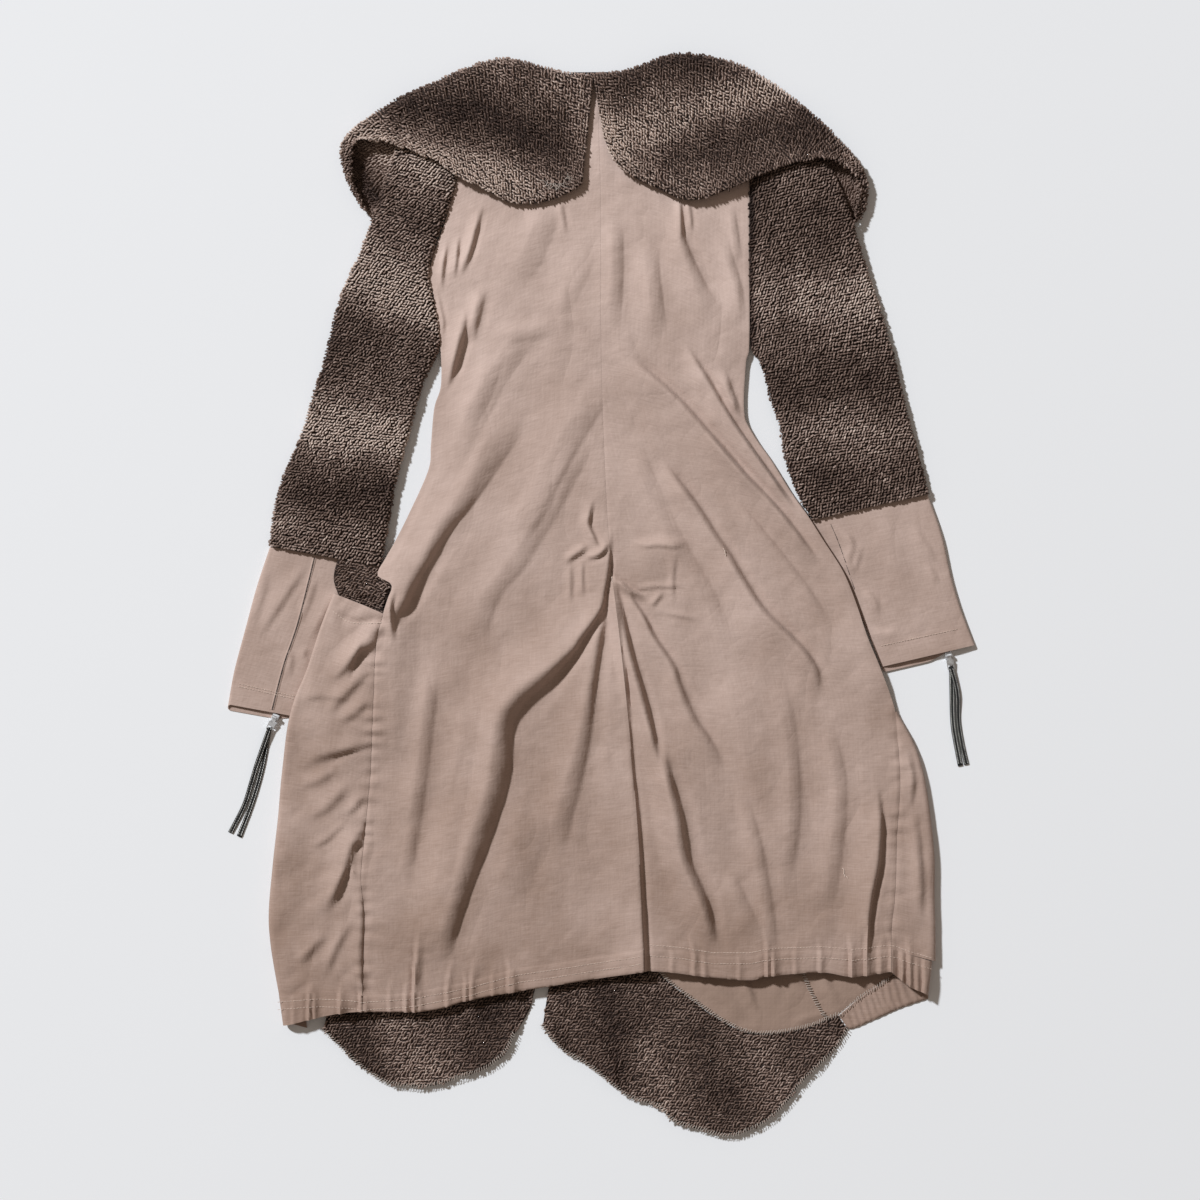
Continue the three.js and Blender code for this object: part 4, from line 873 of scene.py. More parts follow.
# Lengths of lighter and darker yarn, and in the first two rows painted shade: the shadow that the back's edge
# casts on the right sleeve, and the dark hollow under the left collar's corner. Rows: change of tone, width,
# and the band's line.
DYE_AND_SHADE_BANDS = [
    (-0.45, 4, [(180, 484), (180, 400), (180, 302)]), (-0.4, 11, [(-291, 524), (-284, 500), (-272, 476)]),
    (0.44, 46, [(-312, 395), (-260, 372), (-198, 350)]), (-0.14, 34, [(-330, 326), (-260, 312), (-200, 288)]),
    (0.42, 36, [(-352, 206), (-290, 194), (-232, 186)]), (-0.16, 32, [(-376, 134), (-310, 124), (-244, 116)]),
    (0.10, 22, [(-396, 84), (-330, 74), (-262, 62)]), (-0.12, 40, [(180, 460), (240, 444), (300, 430)]),
    (0.26, 40, [(196, 350), (262, 362), (340, 368)]), (-0.16, 34, [(204, 254), (280, 256), (362, 266)]),
    (0.14, 30, [(216, 190), (290, 192), (376, 200)]), (-0.08, 26, [(236, 140), (310, 146), (388, 150)]),
    (0.34, 36, [(-300, 562), (-240, 534), (-157, 510), (-73, 486)]),
    (-0.24, 34, [(-244, 590), (-181, 580), (-109, 558), (-58, 526)]), (0.16, 26, [(-50, 608), (-12, 580)]),
    (0.12, 22, [(-200, 612), (-122, 634)]), (0.42, 32, [(4, 540), (82, 562), (140, 584), (206, 600)]),
    (-0.16, 26, [(19, 602), (67, 632), (130, 638)]),
    (-0.16, 22, [(101, 524), (164, 556), (213, 570), (262, 552)]),
    (0.10, 20, [(30, 500), (90, 488), (150, 494)]), (0.10, 22, [(280, 560), (306, 520)]),
    (0.20, 36, [(-244, -520), (-205, -584)]), (-0.20, 26, [(-133, -496), (-146, -556)]),
    (-0.14, 24, [(-300, -508), (-276, -560)]), (-0.22, 22, [(8, -480), (24, -560)]),
    (0.20, 30, [(52, -560), (76, -620)]), (-0.18, 30, [(120, -530), (150, -600)]),
    (0.14, 26, [(190, -560), (210, -600)]), (-0.12, 20, [(-40, -480), (-50, -530)]),
]


LOOP_GAP_SHADE, BARE_KNIT = 0.03, 0.42   # tone of the ground below the loops, painted near black as painted shade in the gaps, and of knit that has none


def dye_and_shade_tone(points, row):
    """The yarn's tone at each loop, from 0 to 1, with two bands of painted shade among those of the dye."""
    x, y = points[:, 0], points[:, 1]
    slow = cloth_noise(x, y, 55, 31) * 0.09 + cloth_noise(x, y, 20, 32) * 0.07
    streak = cloth_noise(x + 37 * (row % 9), row * 40.0, 14, 33) * 0.06
    speckle = np.random.default_rng(34).normal(0, 0.09, len(x))
    # the first two bands are painted shade, the rest dye
    for change, width, line in DYE_AND_SHADE_BANDS:
        index, distance, _, _ = near_line(line, x, y, 1.6 * width)
        slow[index] += change * np.exp(-((distance / width) ** 2))
    return np.clip(0.56 + 1.15 * slow + streak + speckle, 0.02, 0.98)


def loop_places(grid, trim=1.5):
    """Loops on an outer grid of rows by columns: point, way out, run and tone."""
    middle = grid[:, grid.shape[1] // 2]
    along = distance_along(middle)
    spots, outs, runs, rows = [], [], [], []
    for k, at in enumerate(np.arange(COURSE * 0.5, along[-1], COURSE)):
        i = min(len(along) - 2, np.searchsorted(along, at) - 1)
        t = (at - along[i]) / (along[i + 1] - along[i])
        section = (1 - t) * grid[i] + t * grid[i + 1]
        forward = grid[i + 1] - grid[i]
        across = distance_along(section)
        centre = across[-1] / 2
        count = int((centre - trim) / WALE + 1)
        places = centre + (np.arange(-count, count + 1) + 0.5 * (k % 2)) * WALE
        places = places[(places > trim) & (places < across[-1] - trim)]
        j = np.clip(np.searchsorted(across, places) - 1, 0, len(across) - 2)
        span = across[j + 1] - across[j]
        s = ((places - across[j]) / np.maximum(span, 1e-6))[:, None]
        point = (1 - s) * section[j] + s * section[j + 1]
        run = section[j + 1] - section[j]
        run /= np.linalg.norm(run, axis=1)[:, None] + 1e-9
        way = (1 - s) * forward[j] + s * forward[j + 1]
        out = np.cross(run, way)
        out /= np.linalg.norm(out, axis=1)[:, None] + 1e-9
        spots.append(point)
        outs.append(out)
        runs.append(run)
        rows.append(np.full(len(point), k))
    points, out, run, row = map(np.concatenate, (spots, outs, runs, rows))
    if np.mean(out[:, 2]) < 0:
        out = -out
    jitter = np.random.default_rng(1).normal(0, 0.45, points.shape)
    points = points + jitter * [1, 1, 0.25]
    above = (out[:, 2] > -0.15) & (points[:, 2] > 2.3)
    return points[above], out[above], run[above], dye_and_shade_tone(points, row)[above]


LOOP = dict(Length=0.0035, Thickness=0.0026, Bow=0.0012, Lift=0.0032, Slant=0.65, Turn=0.8)

# %% [markdown]
# ## The woven back
# The two halves share the centre seam. A fine grid carries the folds, and its rim is set down a little, so
# that every seam shows as a shallow groove, as it does where two turned-in edges meet.


# %% Back panels
def panel(name, grid, height, wall, surface, rims=(0.25, 0.25, 0.25, 0.25), inner_step=1):
    """rims: how far the top, bottom, left and right edges are set down, as a share of the wall."""
    under = np.dstack([grid, height(grid[..., 0], grid[..., 1])])
    over = under.copy()
    over[..., 2] += wall
    edge = np.broadcast_to(wall, under.shape[:2])
    for rim, at in zip(rims, ((0, slice(None)), (-1, slice(None)), (slice(1, -1), 0), (slice(1, -1), -1))):
        over[at][..., 2] -= rim * edge[at]
    if inner_step > 1:
        under[1:-1, 1:-1, 2] -= 0.5
    return shell(name, over, under, surface, inner_step=inner_step), over


SEAM_GAP = 0.06
BACK_COLUMNS, BACK_ROWS = 140, 400
left_back, left_back_top = panel("left_back", patch(
    LEFT_EDGE + LEFT_SIDE_SEAM[1:], moved(CENTRE_SEAM, -SEAM_GAP, 0),
    [(-166, 546), (-108, 580), (-48, 606), (-4 - SEAM_GAP, 613)],
    CASING_TOP["back_left"][:-1] + [(52 - SEAM_GAP, -421)], BACK_COLUMNS, BACK_ROWS),
    back_height, WOVEN_WALL, COTTON, rims=(0.25, 0, 0.25, 0.04), inner_step=2)
right_back, right_back_top = panel("right_back", patch(
    moved(CENTRE_SEAM, SEAM_GAP, 0), RIGHT_EDGE + RIGHT_SIDE_SEAM[1:],
    [(-4 + SEAM_GAP, 613), (48, 606), (108, 580), (173, 540)],
    [(52 + SEAM_GAP, -421)] + CASING_TOP["back_right"][1:], BACK_COLUMNS, BACK_ROWS),
    back_height, WOVEN_WALL, COTTON, rims=(0.25, 0, 0.04, 0.25), inner_step=2)
print("back's highest point, mm", round(max(left_back_top[..., 2].max(), right_back_top[..., 2].max()), 1))

# %% [markdown]
# ## Side panels that turn under
# At the coat's outline the side panels roll over and run back below. Each row of the grid ends at that
# fold. The roll is a half circle between the upper and the lower run, so the outline is round, not cut.


# %% A sheet that turns under at its outline
def turned_sheet(grid, height, low, end, wall, turn=8, back=6):
    """Outer and inner points of a sheet whose last column is the fold. low is the height of its lower run."""
    start, fold = grid[:, :1], grid[:, -1:]
    reach = np.linalg.norm(fold - start, axis=2)
    out = (fold - start) / reach[..., None]
    rise = height(fold)
    inset = np.minimum((rise - low) / 2 + wall / 2, reach * 0.9)
    centre = fold - out * inset[..., None]
    run = start + (grid[:, :-1] - start) * (1 - inset / reach)[..., None]
    rise = height(centre)
    radius, level = (rise - low) / 2, np.zeros_like(run[..., :1])
    flat_run = np.dstack([run, height(run)])
    angle = np.linspace(np.pi / 2, -np.pi / 2, turn + 1)
    wide = (inset - wall / 2)[..., None] * np.cos(angle)[None, :, None]
    roll = np.dstack([centre + out * wide, low + radius + radius * np.sin(angle)[None]])
    away = np.dstack([out * np.cos(angle)[None, :, None], np.repeat(np.sin(angle)[None], len(grid), 0)])
    share = np.linspace(0, 1, back + 1)[None, 1:, None]
    under = centre + (end[:, None] - centre) * share
    flat_under = np.dstack([under, np.repeat(low, back, 1)])
    middle = np.concatenate([flat_run, roll, flat_under], 1)
    up = np.concatenate([level, level, level + 1], 2)
    down = np.zeros_like(flat_under) + [0, 0, -1]
    normal = np.concatenate([up, away, down], 1)
    return middle + normal * wall / 2, middle - normal * wall / 2


SIDE_GAP = 0.25
SIDE_WALL_RISE = lambda xy: back_height(xy[..., 0], xy[..., 1]) + WOVEN_WALL / 2
LEFT_RETURN = np.array([(2, -305), (-156, -296), (-240, -296), (-318, -307), (-366, -313), (-438, -319),
                        (-478, -324.5)])
RIGHT_RETURN = np.array([(-140, 350), (-184, 346), (-240, 343), (-438, 343)], float)
left_grid = patch(moved(LEFT_SIDE_SEAM, -SIDE_GAP, 0), LEFT_FOLD,
                  [(-259 - SIDE_GAP, -22), (-288, -10), (-319, 2)],
                  [(-284 - SIDE_GAP, -478)] + CASING_TOP["side_left"][::-1][1:], 34, 150)
fold_y = left_grid[:, -1, 1]
left_low = (6.8 * ease((fold_y + 205) / 45) + WOVEN_WALL / 2)[:, None]
outer, inner = turned_sheet(left_grid, SIDE_WALL_RISE, left_low,
                            np.stack([table_at(LEFT_RETURN, fold_y), fold_y], 1), WOVEN_WALL)
left_side = shell("left_side", outer, inner, COTTON)

right_grid = patch(moved(RIGHT_SIDE_SEAM, SIDE_GAP, 0),
                   [(355, -139), (364, -156)] + moved(RIGHT_FOLD, 4, 0)[1:],
                   [(353 + SIDE_GAP, -140), (355, -139)], [(347 + SIDE_GAP, -422), (364, -428), (401, -438)],
                   16, 90)
fold_x, fold_y = right_grid[:, -1, 0], right_grid[:, -1, 1]
outer, inner = turned_sheet(right_grid, SIDE_WALL_RISE, np.full((len(fold_y), 1), WOVEN_WALL / 2),
                            np.stack([np.minimum(table_at(RIGHT_RETURN, fold_y), fold_x - 8), fold_y], 1),
                            WOVEN_WALL)
right_side = shell("right_side", outer, inner, COTTON)

# %% [markdown]
# ## The gathered hem
# The elastic in the casing draws the cloth into ripples that cross it and fade out above it. The same ripple
# function lifts the panels above and the casing, so the folds run through the seam.

# %% Casings
CASING_GAP, END_GAP = 0.02, 0.2   # below the panels, and at each end of a casing


def casing(name, key, columns):
    top = [(x, y - CASING_GAP) for x, y in CASING_TOP[key]]
    bottom = list(HEM[key])
    for row in (top, bottom):
        row[0] = (row[0][0] + END_GAP, row[0][1])
        row[-1] = (row[-1][0] - END_GAP, row[-1][1])
    grid = patch([top[0], bottom[0]], [top[-1], bottom[-1]], top, bottom, columns, 12)
    wall = np.interp(np.arange(13), [0, 2], [WOVEN_WALL, CASING_WALL])[:, None]
    lowered = lambda x, y: back_height(x, y) - groove_rows(x, y)
    return panel(name, grid, lowered, wall, COTTON, rims=(0, 0.5, 0.1, 0.1))[0]


def stitch_rows(x):
    """How far below the casing's upper edge its two rows of stitches run: lower on the left of the pleat."""
    return np.where(x < 52, 8.0, -4.0), np.where(x < 52, 17.0, 9.0)


def groove_rows(x, y):
    below = hem_line(x) - y
    return 0.3 * sum(np.exp(-((below - row) / 1.6) ** 2) for row in stitch_rows(x))


left_casing = casing("left_hem_casing", "back_left", 170)
right_casing = casing("right_hem_casing", "back_right", 150)


def corner_casing(name, key, left, columns):
    inward = lambda row: [(x if i else x + (-END_GAP if left else END_GAP), y)
                          for i, (x, y) in enumerate(row[::-1] if left else row)]
    top, bottom = [(x, y - CASING_GAP) for x, y in inward(CASING_TOP[key])], inward(HEM[key])
    grid = patch([top[0], bottom[0]], [top[-1], bottom[-1]], top, bottom, columns, 12)
    fold = grid[:, -1]
    outer, inner = turned_sheet(grid, lambda xy: back_height(xy[..., 0], xy[..., 1]) + CASING_WALL / 2,
                                np.full((len(fold), 1), CASING_WALL / 2),
                                np.stack([fold[:, 0] + (28 if left else -30), fold[:, 1] - 4], 1),
                                CASING_WALL)
    return shell(name, outer, inner, COTTON)


left_corner = corner_casing("left_hem_corner", "side_left", True, 56)
right_corner = corner_casing("right_hem_corner", "side_right", False, 28)

# %% [markdown]
# ## The fronts
# Only their rounded hems show, below the back. A flat pattern piece has an outline of any shape, so it is
# filled with a triangle mesh: the outline as fixed edges, and a lattice of points inside to carry its soft
# relief.

# %% A piece cut to an outline
def outline_of(lines):
    return np.concatenate([curve(points, steps)[:-1] for steps, points in lines])


def inside_outline(x, y, ring):
    hit = np.zeros(np.shape(x), bool)
    for (ax, ay), (bx, by) in zip(ring, np.roll(ring, -1, 0)):
        if ay != by:
            crosses = (ay > y) != (by > y)
            hit ^= crosses & (x < (bx - ax) * (y - ay) / (by - ay) + ax)
    return hit


def rim_distance(x, y, ring):
    best = np.full(np.shape(x), 1e9)
    for (ax, ay), (bx, by) in zip(ring, np.roll(ring, -1, 0)):
        length = max(1e-9, np.hypot(bx - ax, by - ay))
        tx, ty = (bx - ax) / length, (by - ay) / length
        t = np.clip((x - ax) * tx + (y - ay) * ty, 0, length)
        best = np.minimum(best, np.hypot(x - ax - t * tx, y - ay - t * ty))
    return best


def cut_piece(name, ring, over, under, fine, coarse, split, surface, tone=None):
    """Fine cells below the height split, coarse ones above it, where the piece is hidden."""
    lattice = []
    for cell, low, high in ((fine, -700, split), (coarse, split + fine, 640)):
        ys = np.arange(low, high, cell * 0.87)
        for k, y in enumerate(ys):
            xs = np.arange(ring[:, 0].min(), ring[:, 0].max(), cell) + (k % 2) * cell / 2
            lattice.append(np.stack([xs, np.full(len(xs), y)], 1))
    lattice = np.concatenate(lattice)
    lattice = lattice[inside_outline(lattice[:, 0], lattice[:, 1], ring)]
    lattice = lattice[rim_distance(lattice[:, 0], lattice[:, 1], ring) > fine * 0.55]
    plan = np.concatenate([ring, lattice])
    edges = [(i, (i + 1) % len(ring)) for i in range(len(ring))]
    verts, _, triangles, *_ = delaunay_2d_cdt([Vector(p) for p in plan.tolist()], edges, [], 1, 1e-5)
    flat = np.array([tuple(v) for v in verts])
    x, y = flat[:, 0], flat[:, 1]
    rim = rim_distance(x, y, ring)
    top, bottom = over(x, y), under(x, y)
    top = bottom + (top - bottom) * (0.55 + 0.45 * ease(rim / 3.0))
    count = len(flat)
    tri = np.array([t for t in triangles if len(t) == 3])
    a, b, c = flat[tri[:, 0]], flat[tri[:, 1]], flat[tri[:, 2]]
    turn = (b[:, 0] - a[:, 0]) * (c[:, 1] - a[:, 1]) - (b[:, 1] - a[:, 1]) * (c[:, 0] - a[:, 0])
    tri[turn < 0] = tri[turn < 0][:, ::-1]
    sides = {(p, q) for t in tri.tolist() for p, q in ((t[0], t[1]), (t[1], t[2]), (t[2], t[0]))}
    walls = [(q, p, p + count, q + count) for p, q in sides if (q, p) not in sides]
    points = np.concatenate([np.stack([x, y, top], 1), np.stack([x, y, bottom], 1)])
    faces = tri.tolist() + (tri[:, ::-1] + count).tolist() + walls
    place = np.stack([np.tile(x, 2), np.tile(y, 2), np.zeros(2 * count)], 1) * MM
    tones = None if tone is None else np.concatenate([tone(x, y), np.full(count, BARE_KNIT)])
    return new_piece(name, points, faces, surface, place, tones)


LEFT_FRONT_LINES = [
    (60, [(-150, 528), (-158, 498), (-172, 450), (-192, 390), (-190, 354), (-185, 300), (-185, 252),
          (-192, 224), (-196, 180), (-199, 150), (-222, 98), (-238, 66), (-248, 36), (-250, 6), (-262, -60),
          (-274, -126), (-295, -240), (-312, -366), (-318, -438), (-326, -490), (-331, -523)]),
    (70, [(-331, -523), (-319, -534), (-290, -562), (-258, -583), (-223, -589), (-200, -587), (-170, -578),
          (-136, -566), (-113, -546), (-104, -526)]),
    (60, [(-104, -526), (-88, -503), (-83, -488), (-71, -438), (-58, -318), (-41, -126), (-24, 114),
          (-12, 354), (-8, 560)]),
    (10, [(-8, 560), (-84, 560), (-150, 528)]),
]
FRONT_SEAM = [(160, 528), (150, 300), (108, 114), (66, -126), (58, -366), (66, -444), (80, -463), (110, -486),
              (144, -510), (174, -524), (206, -526), (248, -518), (284, -504)]
RIGHT_HEM = [(-70, -516), (-47, -544), (-19, -560), (19, -590), (34, -601), (70, -613), (86, -629),
             (119, -640), (152, -648), (180, -640), (202, -628), (223, -607), (240, -584), (262, -563),
             (282, -544), (296, -522)]
RIGHT_FRONT_LINES = [
    (50, [(-3, 560), (-7, 354), (-19, 114), (-36, -126), (-52, -318), (-57, -414), (-59, -456), (-67, -492),
          (-70, -516)]),
    (100, RIGHT_HEM),
    (5, [(296, -522), (284, -504)]),
    (90, FRONT_SEAM[::-1]),
    (10, [(160, 528), (84, 562), (-3, 560)]),
]
FRONT_SIDE_LINES = [
    (90, moved(FRONT_SEAM, 0.5, 0.5)),
    (8, [(284.5, -503.5), (311, -482), (338, -466), (351, -457)]),
    (3, [(351, -457), (352, -446), (341, -440)]),
    (60, [(341, -440), (342, -420), (342, -354), (342, -260), (342, -184), (340, -140), (329, -89),
          (313, -50), (300, -11), (284, 28), (260, 66), (241, 96), (221, 125), (198, 162), (176, 194),
          (166, 220), (168, 277), (172, 300), (172, 450), (169, 524)]),
    (2, [(169, 524), (160.5, 528.5)]),
]


def limp(ring):
    """Cut knit never lies with a true edge: the outline wanders by a millimetre or two where it is free."""
    x, y = ring[:, 0], ring[:, 1]
    free = ease((-480 - y) / 20) * ease((276 - x) / 14)
    wander = np.stack([cloth_noise(x, y, 13, 57), cloth_noise(x, y, 13, 58)], 1) * 1.6
    wander += np.stack([cloth_noise(x, y, 5, 59), cloth_noise(x, y, 5, 60)], 1) * 0.7
    return ring + wander * free[:, None]


LEFT_FRONT, RIGHT_FRONT, FRONT_SIDE = (limp(outline_of(lines)) for lines in (
    LEFT_FRONT_LINES, RIGHT_FRONT_LINES, FRONT_SIDE_LINES))
FLAP_FOLDS = [
    (2.2, 24, 9, [(-20, -500), (0, -540), (14, -584)]), (2.6, 26, 8, [(24, -548), (14, -580), (34, -598)]),
    (1.6, 20, 12, [(120, -530), (130, -580), (120, -630)]),
    (1.4, 16, 10, [(200, -545), (210, -590), (196, -622)]),
    (1.6, 18, 10, [(-240, -505), (-236, -540), (-246, -575)]),
    (1.4, 18, 10, [(-160, -500), (-166, -540), (-156, -570)]),
]


def flap_rest(x, y):
    """The knit's cut edges curl up from the floor a little."""
    lift = np.zeros(np.shape(x))
    for hem in (LEFT_FRONT_LINES[1][1], RIGHT_HEM):
        index, distance, _, _ = near_line(hem, x, y, 60)
        lift[index] = np.maximum(lift[index], 4.2 * np.exp(-distance / 18))
    return lift * ease((-490 - y) / 30) * ease((284 - x) / 30)


def flap_height(x, y):
    """Top of the knit fronts: flat on the floor, and free to ripple below the back's hem."""
    free = ease((-478 - y) / 40)
    ripple = folds_at(x, y, FLAP_FOLDS) + 0.7 * cloth_noise(x, y, 42, 51) + 0.35 * cloth_noise(x, y, 16, 52)
    return KNIT_WALL - 0.9 + flap_rest(x, y) + np.maximum(0, ripple) * free


INNER_FOLDS = [
    (4.5, 18, 5, [(166, -430), (173, -462), (182, -486), (190, -506)]),
    (2.2, 12, 4, [(225, -514), (250, -506), (280, -496)]),
    (2.4, 22, 10, [(100, -450), (140, -478), (180, -512)]),
    (2.2, 14, 6, [(200, -440), (232, -456), (262, -460)]),
    (2.6, 16, 6, [(262, -440), (272, -470), (290, -492)]),
    (2.0, 10, 5, [(312, -440), (316, -462), (310, -478)]),
]


def inner_side_height(x, y):
    free = ease((-436 - y) / 25)
    relief = folds_at(x, y, INNER_FOLDS) + 0.6 * cloth_noise(x, y, 20, 53) + 0.4 * cloth_noise(x, y, 9, 54)
    return WOVEN_WALL + free * np.maximum(0, relief)


floor_level = lambda x, y: np.zeros_like(x)
# painted shade: below the back's hem the fronts' ground under the loops is painted near black
covered = lambda x, y: np.where(y < -440, LOOP_GAP_SHADE, BARE_KNIT)
left_front = cut_piece("left_front", LEFT_FRONT, flap_height, flap_rest, 5, 16, -440, KNIT_GROUND, covered)
right_front = cut_piece("right_front", RIGHT_FRONT, flap_height, flap_rest, 5, 16, -440, KNIT_GROUND, covered)
front_side = cut_piece("right_front_side", FRONT_SIDE, inner_side_height, floor_level, 4, 16, -430,
                       COTTON_INSIDE)
FRONT_CASING = outline_of([
    (24, [(285.9, -504.7), (311.6, -482.7), (338.6, -464), (352, -456)]),
    (14, [(352, -456), (362, -458), (376, -466), (393, -474)]),
    (3, [(393, -474), (393, -484)]),
    (40, [(393, -484), (375, -490), (356, -497), (329, -509), (306, -519), (297.4, -520.6)]),
    (6, [(297.4, -520.6), (285.9, -504.7)]),
])


def front_casing_height(x, y):
    ripple = 0.5 + 0.5 * np.sin(2 * np.pi * (x + 0.4 * y) / 9 + 2 * cloth_noise(x, y, 18, 56))
    return CASING_WALL + 1.3 * ripple * ease((y + 530) / 12) + 0.5 * cloth_noise(x, y, 12, 55)


front_casing = cut_piece("right_front_casing", FRONT_CASING, front_casing_height, floor_level, 2.2, 16, -400,
                         COTTON)

# %% [markdown]
# ## Sleeves and cuffs
# Each is a tube pressed flat. A table gives both ends of each section, the height it rests at and its
# thickness, and rings of points follow it. Wrinkles only lift the upper side; the lower side lies flat.


# %% A tube pressed flat
def flat_tube(rows, lengthwise, span, ends, wall, relief, mouth=0.0):
    """mouth: how far the lower layer shows beyond the upper one at the last end, on the first side."""
    s = curve(rows, lengthwise)
    a, b, rest, height = s[:, :2], s[:, 2:4], s[:, 4], s[:, 5]
    length = np.linalg.norm(b - a, axis=1)
    across = (b - a) / length[:, None]
    middle, half = (a + b) / 2, (length - height) / 2
    t = np.linspace(-1, 1, span, endpoint=False)
    bend = np.linspace(-np.pi / 2, np.pi / 2, ends, endpoint=False)
    flat = np.concatenate([t, 1 + 0 * bend, -t, -1 + 0 * bend])
    side = np.concatenate([0 * t, np.cos(bend), 0 * t, -np.cos(bend)])
    up = np.concatenate([-1 + 0 * t, np.sin(bend), 1 + 0 * t, -np.sin(bend)])

    def ring(depth):
        radius = (height / 2 - depth)[:, None]
        out = half[:, None] * flat + radius * side
        made = np.dstack([middle[:, None] + across[:, None] * out[..., None],
                          (rest + height / 2)[:, None] + radius * up])
        crown = 1.2 * (1 - np.abs(flat) ** 3)
        made[..., 2] += (relief(made[..., 0], made[..., 1]) + crown) * ease(up[None] * 1.2)
        near_mouth = ease((np.arange(len(s)) - len(s) + 11) / 10)[:, None]
        reach = mouth * near_mouth * (1 - up) / 2 * (1 - ease((flat + 0.1) / 0.7))
        way = (middle[-1] - middle[-3]) / np.linalg.norm(middle[-1] - middle[-3])
        made[..., :2] += way * reach[..., None]
        return made

    return ring(0), ring(wall), slice(span + 2, 2 * span + 2 * ends - 2)


# Columns: x and y of both ends of a section, the height it rests at, and its thickness.
SLEEVE_ROWS = {
    "left": [(-244, 536, -171, 515, 4.3, 9), (-258, 492, -180.5, 470, 4.3, 9.5),
             (-273, 448, -197.8, 422, 4.3, 10.8), (-288, 406, -206.8, 384, 3.9, 10.8),
             (-304, 373, -199, 346, 1.2, 10.8), (-317, 334, -193.5, 302, 0, 10.8),
             (-331, 277, -212, 257, 0, 10.8), (-343, 242, -222, 224, 0, 10.8),
             (-352, 208, -230, 194, 0, 10.8), (-366, 172, -239, 162, 0, 10.8),
             (-380, 139, -248, 127, 0, 10.8), (-389, 104, -254, 89, 0, 10.8), (-396, 59, -264, 35, 0, 10)],
    "right": [(178.7, 522, 248, 542, 4.3, 9), (178.7, 480, 276, 506, 4.3, 9.5),
              (178.7, 438, 295, 464, 4.3, 10.8), (178.7, 396, 307, 424, 3.9, 10.8),
              (178.7, 354, 320, 384, 1.2, 10.8), (179.5, 302, 336, 336, 0, 10.8),
              (194, 275, 348, 294, 0, 10.8), (205, 234, 358, 252, 0, 10.8), (216, 200, 367, 216, 0, 10.8),
              (222, 162, 376, 180, 0, 10.8), (235, 124, 384, 150, 0, 10.8), (254, 90, 392, 121, 0, 10)],
}
CUFF_ROWS = {
    "left": [(-396, 58.2, -264, 34.2, 0, 6.2), (-412, 10, -280, -19, 0, 6.2), (-425, -38, -300, -68, 0, 6.2),
             (-439, -91, -319, -120, 0, 6.2), (-446, -131, -330, -152, 0, 6.2)],
    "right": [(247, 90.2, 392, 120.2, 1.5, 6.2), (277, 44, 409, 71, 1.5, 6.2), (299, 2, 420, 22, 1.5, 6.2),
              (319, -41, 432, -18, 1.5, 6.2), (337, -86, 448, -60, 1.5, 6.2)],
}
SLEEVE_FOLDS = [
    (1.6, 30, 14, [(-300, 330), (-270, 250), (-262, 200)]),
    (1.4, 26, 12, [(-330, 200), (-320, 130), (-330, 70)]),
    (1.6, 20, 10, [(-240, 250), (-262, 190), (-276, 140)]),
    (1.5, 24, 12, [(240, 330), (262, 260), (270, 200)]), (1.4, 20, 10, [(300, 250), (320, 190), (330, 140)]),
    (1.3, 24, 12, [(270, 400), (290, 340), (300, 290)]),
]
PRESSED = 3.0   # how far the cloth lies lower beside the back's edge
CUFF_FOLDS = [
    (2.4, 18, 6, [(-350, 44), (-372, 10), (-400, -32), (-414, -52)]),
    (1.8, 12, 5, [(-340, 30), (-352, -10), (-366, -40)]),
    (2.4, 14, 6, [(-300, 20), (-322, -6), (-340, -34), (-352, -62)]),
    (1.8, 12, 5, [(-376, -62), (-372, -80), (-376, -100)]),
    (1.6, 16, 7, [(-400, 40), (-408, 0), (-424, -50)]), (2.2, 9, 4, [(-350, -60), (-356, -74), (-344, -88)]),
    (2.6, 12, 5, [(278, 84), (300, 62), (296, 40), (304, 14)]),
    (2.0, 9, 4, [(312, 66), (306, 40), (300, 22)]), (1.8, 14, 6, [(372, 84), (388, 58), (402, 36)]),
    (1.6, 10, 5, [(388, 40), (398, 22), (404, 10)]), (2.0, 12, 6, [(312, 8), (326, -8), (334, -26)]),
    (2.0, 16, 7, [(320, -40), (340, -48), (360, -40)]), (1.6, 24, 14, [(330, 100), (350, 50), (366, 0)]),
]


def sleeve_relief(x, y):
    soft = folds_at(x, y, SLEEVE_FOLDS) + 0.7 * cloth_noise(x, y, 46, 61) + 0.3 * cloth_noise(x, y, 19, 62)
    beside_back = np.exp(-((x - 178) / 9) ** 2) * ease((y - 262) / 30)
    return soft * ease((400 - y) / 60) - PRESSED * beside_back


def cuff_relief(x, y):
    soft = folds_at(x, y, CUFF_FOLDS) + 0.35 * cloth_noise(x, y, 26, 63) + 0.2 * cloth_noise(x, y, 10, 64)
    beside_back = (x > 0) * np.exp(-(np.maximum(0, x - table_at(OUTLINE_RIGHT, y)) / 9) ** 2)
    return soft - 1.0 - PRESSED * beside_back


